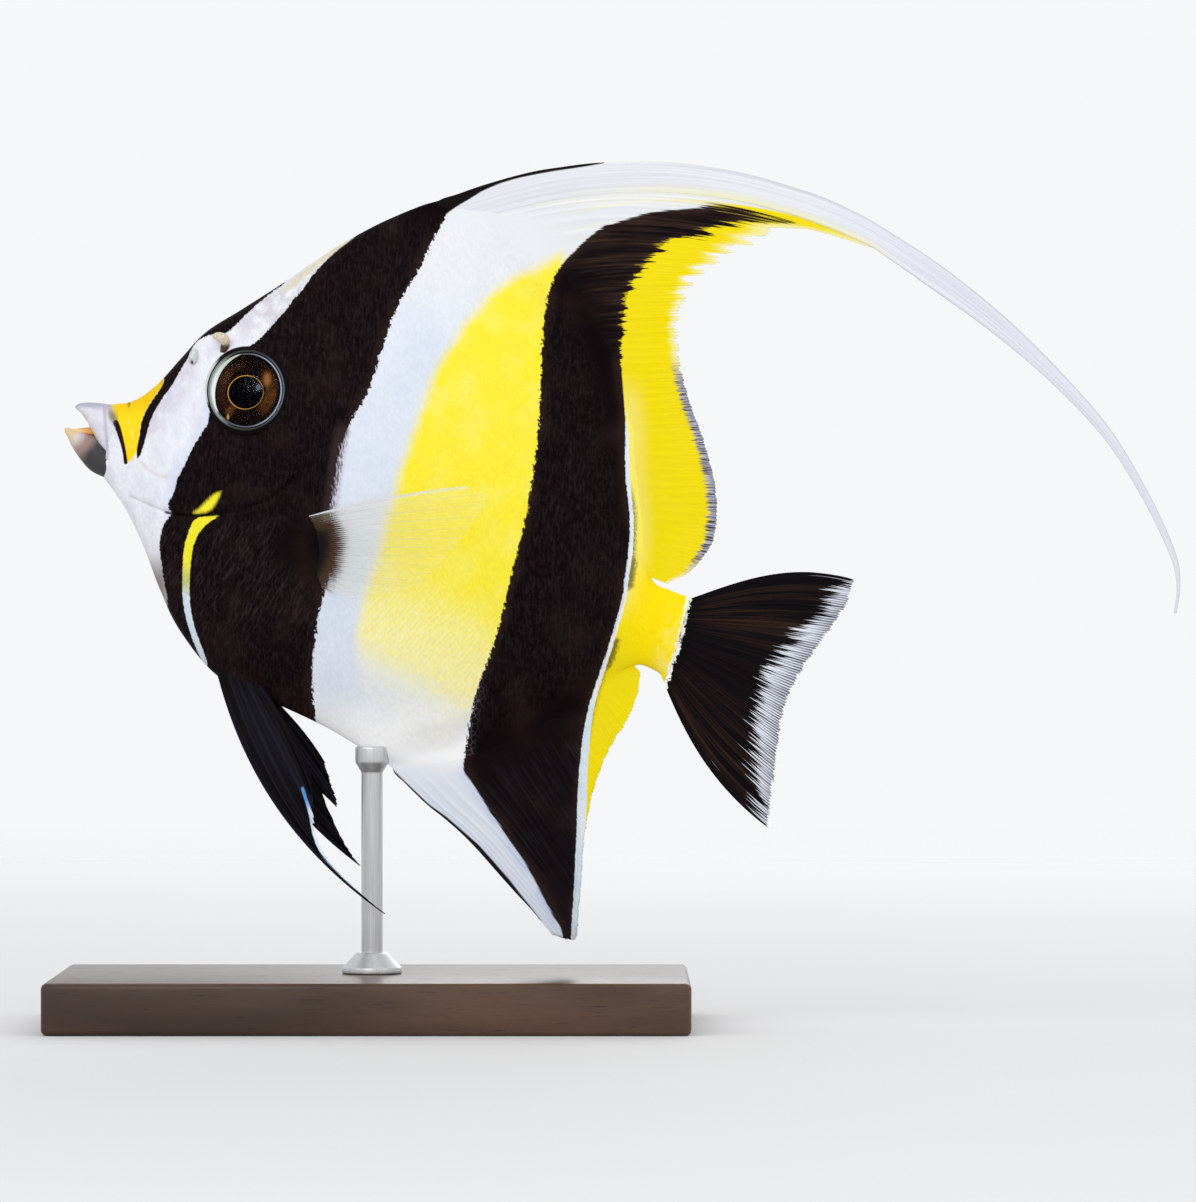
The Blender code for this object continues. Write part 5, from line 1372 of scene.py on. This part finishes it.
def iris_finish():
    f = Finish("iris_paint", (0.0036, 0.0018, 0.0018), Roughness=0.45, Specular_IOR_Level=0)
    radius, ahead, above = f.kept("radius"), f.kept("ahead"), f.kept("above")
    flat = radius.highest(0.001)
    across, up = ahead / flat, above / flat
    angle = above.math("ARCTAN2", ahead)
    spokes = f.noise(f.node("CombineXYZ", {0: angle * 9, 1: radius * 5, 2: 0}))
    blotch = f.noise(f.node("CombineXYZ", {0: angle * 2.2, 1: radius * 4, 2: 3}), 2)
    band = radius.over(0.47, 0.56) * radius.over(0.88, 0.7)
    right = (across * 0.97 - up * 0.1).over(0.45, 0.95) * band * 0.85
    left = (up * 0.7 - across * 0.7).over(0.6, 0.98) * radius.over(0.5, 0.6) * 0.24
    low = (across * -0.62 - up * 0.78).over(0.97, 1) * band * 0.72
    amber = right.highest(left * radius.over(0.8, 0.66)).highest(low)
    amber = amber * (spokes * 0.9 + blotch * 1.1 - 0.42)
    f.coat(spokes.over(0.4, 0.8) * 0.6, (0.011, 0.004, 0.0026))
    f.coat(across.over(-0.5, -0.9) * band * 0.5, (0.04, 0.014, 0.008))
    f.coat(amber * 0.66, (0.2, 0.072, 0.017))
    f.coat(amber.over(0.6, 1) * 0.35, (0.42, 0.21, 0.065))
    gleam = from_point(ahead, above, 0.54, 0.26, wide=1.6) + (spokes - 0.5) * 0.15
    f.coat(gleam.over(0.25, 0.02) * 0.6, (0.38, 0.16, 0.045))
    spark = from_point(ahead, above, -0.47, -0.68, wide=2.6)
    f.coat(spark.over(0.12, 0.02) * 0.8, (0.75, 0.38, 0.08))
    # The pupil sits a little below the middle, with a thin bright ring about it.
    near = from_point(ahead, above, -0.015, -0.055, tall=1.1)
    ring = near.over(0.455, 0.463) * near.over(0.478, 0.466)
    f.coat(ring * (0.6 + across.over(0.4, -0.6) * 0.4), (0.95, 0.46, 0.08))
    f.coat(near.over(0.46, 0.446), (0.0002, 0.0002, 0.0008))
    # A painted highlight: a small pale blue-grey spot on the pupil, right of and a little above its
    # middle.
    painted_highlight = from_point(ahead, above, 0.32, 0.075)
    f.coat(painted_highlight.over(0.11, 0.04) * 0.8, (0.1, 0.12, 0.17))
    # A pale crescent in front of the iris, greener at its upper end.
    towards = up * 0.36 - across * 0.93
    front = towards.over(0.42, 0.6)
    crescent = (radius + towards * 0.22 + (spokes - 0.5) * 0.015).over(1.015, 1.04) * front
    f.coat(crescent, f.mix(up.over(0, 0.9), (0.76, 0.8, 0.82), (0.5, 0.58, 0.5)))
    f.coat(radius.over(0.86, 0.885) * (1 - front), (0.004, 0.004, 0.006))
    # A painted reflection: a thin bluish ring near the iris's edge, brightest towards the right, for
    # the dome's glossy edge.
    arc = radius.over(0.895, 0.91) * radius.over(0.95, 0.93) * (1 - front)
    f.coat(arc * (0.25 + across.over(0, 0.8) * 0.6), (0.46, 0.54, 0.66))
    return f.done()


def cornea_finish():
    """Clear where it faces the viewer and glossy towards its edge."""
    f = Finish("clear_dome")
    f.tree.nodes.remove(f.shader)
    clear = f.node("BsdfTransparent")
    gloss = f.node("BsdfGlossy", {"Color": (1, 1, 1, 1), "Roughness": 0.06})
    both = f.node("MixShader", {0: f.node("Fresnel", {"IOR": 1.08}), 1: clear, 2: gloss})
    f.tree.links.new(both.socket, f.tree.nodes["Material Output"].inputs["Surface"])
    return f.material


def rim_finish():
    f = Finish("eye_rim_skin", BLACK, Specular_IOR_Level=0.04)
    radius, ahead, above = f.kept("radius"), f.kept("ahead"), f.kept("above")
    grain = f.noise(f.place(0.8), 2)
    # A painted reflection: a thin pale ring where the dome meets the rim, brightest to the left and
    # the right.
    line = radius.over(0.955, 0.97) * radius.over(1.02, 0.995)
    pale = f.mix(ahead.over(-0.3, 0.6), (0.34, 0.39, 0.34), (0.16, 0.19, 0.26))
    f.coat(line * (0.12 + ahead.math("ABSOLUTE").over(0.3, 0.9) * 0.4), pale)
    f.coat(radius.over(0.975, 0.955) * ahead.over(-0.35, -0.75) * 0.85, (0.5, 0.57, 0.53))
    front = ahead.over(-0.7, -0.92) * radius.over(1.035, 1.06) * above.over(-0.4, -0.2)
    f.coat(front, (0.56, 0.56, 0.6))
    return f.done(grain, 0.06, 0.4, Roughness=0.3 + grain * 0.15)


def horn_finish():
    f = Finish("horn_bone", Roughness=0.42, Specular_IOR_Level=0.3)
    grain = f.noise(f.place(0.5))
    f.colour = f.mix(grain.over(0.35, 0.7), (0.52, 0.41, 0.29), (0.66, 0.6, 0.52))
    # Painted shade: the horn's root and lower part are painted dark brown, for the shade under it.
    f.coat((f.kept("share") + (grain - 0.5) * 0.2).over(0.44, 0.26), (0.052, 0.022, 0.014))
    return f.done(grain, 0.08, 0.5)


def nostril_finish():
    f = Finish("nostril_skin", Roughness=0.36, Specular_IOR_Level=0.3)
    grain = f.noise(f.place(0.6))
    f.colour = f.mix(grain.over(0.35, 0.7), (0.44, 0.48, 0.44), (0.6, 0.63, 0.61))
    # Painted shade: the pit is painted dark as the inside of the opening.
    f.coat(f.kept("pit").over(0.3, 0.75), (0.06, 0.012, 0.008))
    return f.done(grain, 0.05, 0.4)


def wood_finish():
    f = Finish("dark_walnut", Coat_Weight=0.25, Coat_Roughness=0.25, Specular_IOR_Level=0.3)
    waves = {"Vector": f.place(45, 6, 6), "Scale": 0.35, "Distortion": 6, "Detail": 3,
             "Detail Scale": 0.9}
    rings = f.node("TexWave", waves, output="Fac", wave_type="BANDS", bands_direction="Y")
    pores = f.noise(f.place(8, 0.35, 0.35), 2, 0.6, 2).over(0.58, 0.7)
    f.colour = f.mix(rings, (0.036, 0.016, 0.009), (0.1, 0.048, 0.025))
    flow = f.noise(f.place(70, 8, 8), shift=1)
    f.coat(flow.over(0.4, 0.75) * 0.6, (0.024, 0.011, 0.007))
    f.coat(pores * 0.7, (0.008, 0.004, 0.003))
    return f.done(1 - pores, 0.06, 0.35, Roughness=0.34 + pores * 0.25 + rings * 0.06)


def steel_finish():
    f = Finish("brushed_steel", Metallic=1)
    brushed = f.noise(f.place(0.25, 0.25, 14))
    cloud = f.noise(f.place(9), 2, shift=1)
    f.colour = f.mix(brushed.over(0.3, 0.7), (0.52, 0.53, 0.54), (0.64, 0.64, 0.64))
    return f.done(brushed, 0.02, 0.2, Roughness=0.32 + brushed * 0.1 + cloud * 0.06)


def floor_finish():
    """A pale studio floor that fades out into the backdrop's own light."""
    f = Finish("studio_floor", Roughness=0.8, Specular_IOR_Level=0.1)
    x, y, _ = f.parts()
    far = (x * x + y * y) ** 0.5
    f.colour = f.mix(f.noise(f.place(300), 2), (0.66, 0.66, 0.665), (0.68, 0.68, 0.685))
    return f.done(Alpha=far.over(1500, 250))


# Studio.

# Each light: name, place, size, power. All of them aim at the same point.
LIGHTS = [("key", (-0.28, -1.45, 0.72), 0.45, 3.2), ("left", (-0.95, -0.75, 1), 0.8, 2.4),
          ("right", (1, -0.9, 0.6), 0.8, 1), ("top", (0.1, 0.15, 1.25), 0.8, 0.8),
          ("low", (0.15, -1.4, 0.06), 0.6, 3), ("back", (0.3, 1.2, 0.7), 0.8, 3.5)]
LIT_POINT = (0.03, 0, 0.12)


def make_studio():
    scene = bpy.context.scene
    scene.view_settings.view_transform = "Standard"
    world = bpy.data.worlds.new("studio")
    world.use_nodes = True
    background = world.node_tree.nodes["Background"]
    background.inputs["Color"].default_value = (0.92, 0.93, 0.945, 1)
    scene.world = world
    floor = primitive("circle", "floor", vertices=128, radius=2, fill_type="NGON")
    floor.data.materials.append(floor_finish())
    for name, place, size, power in LIGHTS:
        data = bpy.data.lights.new(name, "AREA")
        data.shape, data.size, data.energy = "SQUARE", size, power
        lamp = bpy.data.objects.new(name, data)
        lamp.location = place
        aim = Vector(LIT_POINT) - lamp.location
        lamp.rotation_euler = aim.to_track_quat("-Z", "Y").to_euler()
        lamp.visible_glossy = name != "low"
        scene.collection.objects.link(lamp)
    data = bpy.data.cameras.new("camera")
    data.sensor_width = 36
    data.lens = data.sensor_width * EYE_POINT_FAR / VIEW_SIZE
    camera = bpy.data.objects.new("camera", data)
    camera.location = (EYE_POINT_X * MM, -EYE_POINT_FAR * MM, EYE_POINT_Z * MM)
    camera.rotation_euler = (math.pi / 2, 0, 0)
    scene.collection.objects.link(camera)
    scene.camera = camera


def settle(obj, finish, slot, *nodes):
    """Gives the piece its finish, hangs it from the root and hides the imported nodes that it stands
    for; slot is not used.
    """
    obj.data.materials.clear()
    obj.data.materials.append(finish)
    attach(obj, "root")
    if nodes:
        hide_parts(*nodes)


def main():
    skin, tree = make_skin()
    settle(skin, skin_finish(), "skin_yellow", "head", "gill_cover_l", "gill_cover_r", "trunk",
           "tail_stalk")
    for side, rows, chin in (("upper", UPPER_JAW, False), ("lower", LOWER_JAW, True)):
        lip = loft(side + "_lip", rows, JAW_RINGS, JAW_SIDES)
        mark(lip, "lip_fold", "lip_edge", "lip_line", "saddle")
        settle(lip, lip_finish(chin), "lips", side + "_jaw")
    settle(make_mouth(), mouth_finish(), "lips")

    iris, dome, rim = make_eye(tree)
    horn, nostril = make_horn(tree), make_nostril(tree)
    sided = [(iris, "iris", iris_finish(), "eyes", "eye"),
             (dome, "cornea", cornea_finish(), "eyes", None),
             (rim, "eye_rim", rim_finish(), "skin_black", None),
             (horn, "horn", horn_finish(), "horns", "brow_horn"),
             (nostril, "nostril", nostril_finish(), "lips", None)]
    for left, name, finish, slot, node in sided:
        right = mirrored(left, name + "_r")
        for piece, side in ((left, "_l"), (right, "_r")):
            settle(piece, finish, slot, *([node + side] if node else []))

    streamer, front, rear, belly, tail, pectoral, pelvics = make_fins(tree)
    settle(streamer, streamer_finish(RAYS["streamer"]), "fin_white", "streamer_1", "streamer_2",
           "streamer_3")
    settle(front, fin_finish("dorsal_front_skin", RAYS["front"], 9, (2, 3), seed=3), "fin_white",
           "dorsal_fin_front")
    settle(rear, fin_finish("dorsal_rear_skin", RAYS["rear"], 7, (0.22, 0.96), seed=4),
           "fin_yellow", "dorsal_fin_rear")
    settle(belly, fin_finish("anal_skin", RAYS["anal"], 3, seed=5), "fin_black", "anal_fin")
    settle(tail, tail_finish(RAYS["tail"]), "fin_black", "tail_fin")
    clear, dark = pectoral_finish(RAYS["pectoral"]), pelvic_finish(RAYS["pelvic"])
    for piece, side in ((pectoral, "l"), (mirrored(pectoral, "pectoral_r"), "r")):
        settle(piece, clear, "fin_clear", "pectoral_fin_" + side)
    for piece, side in zip(pelvics, "lr"):
        settle(piece, dark, "fin_black", "pelvic_fin_" + side)

    base, collar, rod = make_stand()
    steel = steel_finish()
    settle(base, wood_finish(), "base_wood", "stand_base")
    settle(collar, steel, "stand_steel", "stand_collar")
    settle(rod, steel, "stand_steel", "stand_rod")
    make_studio()


main()
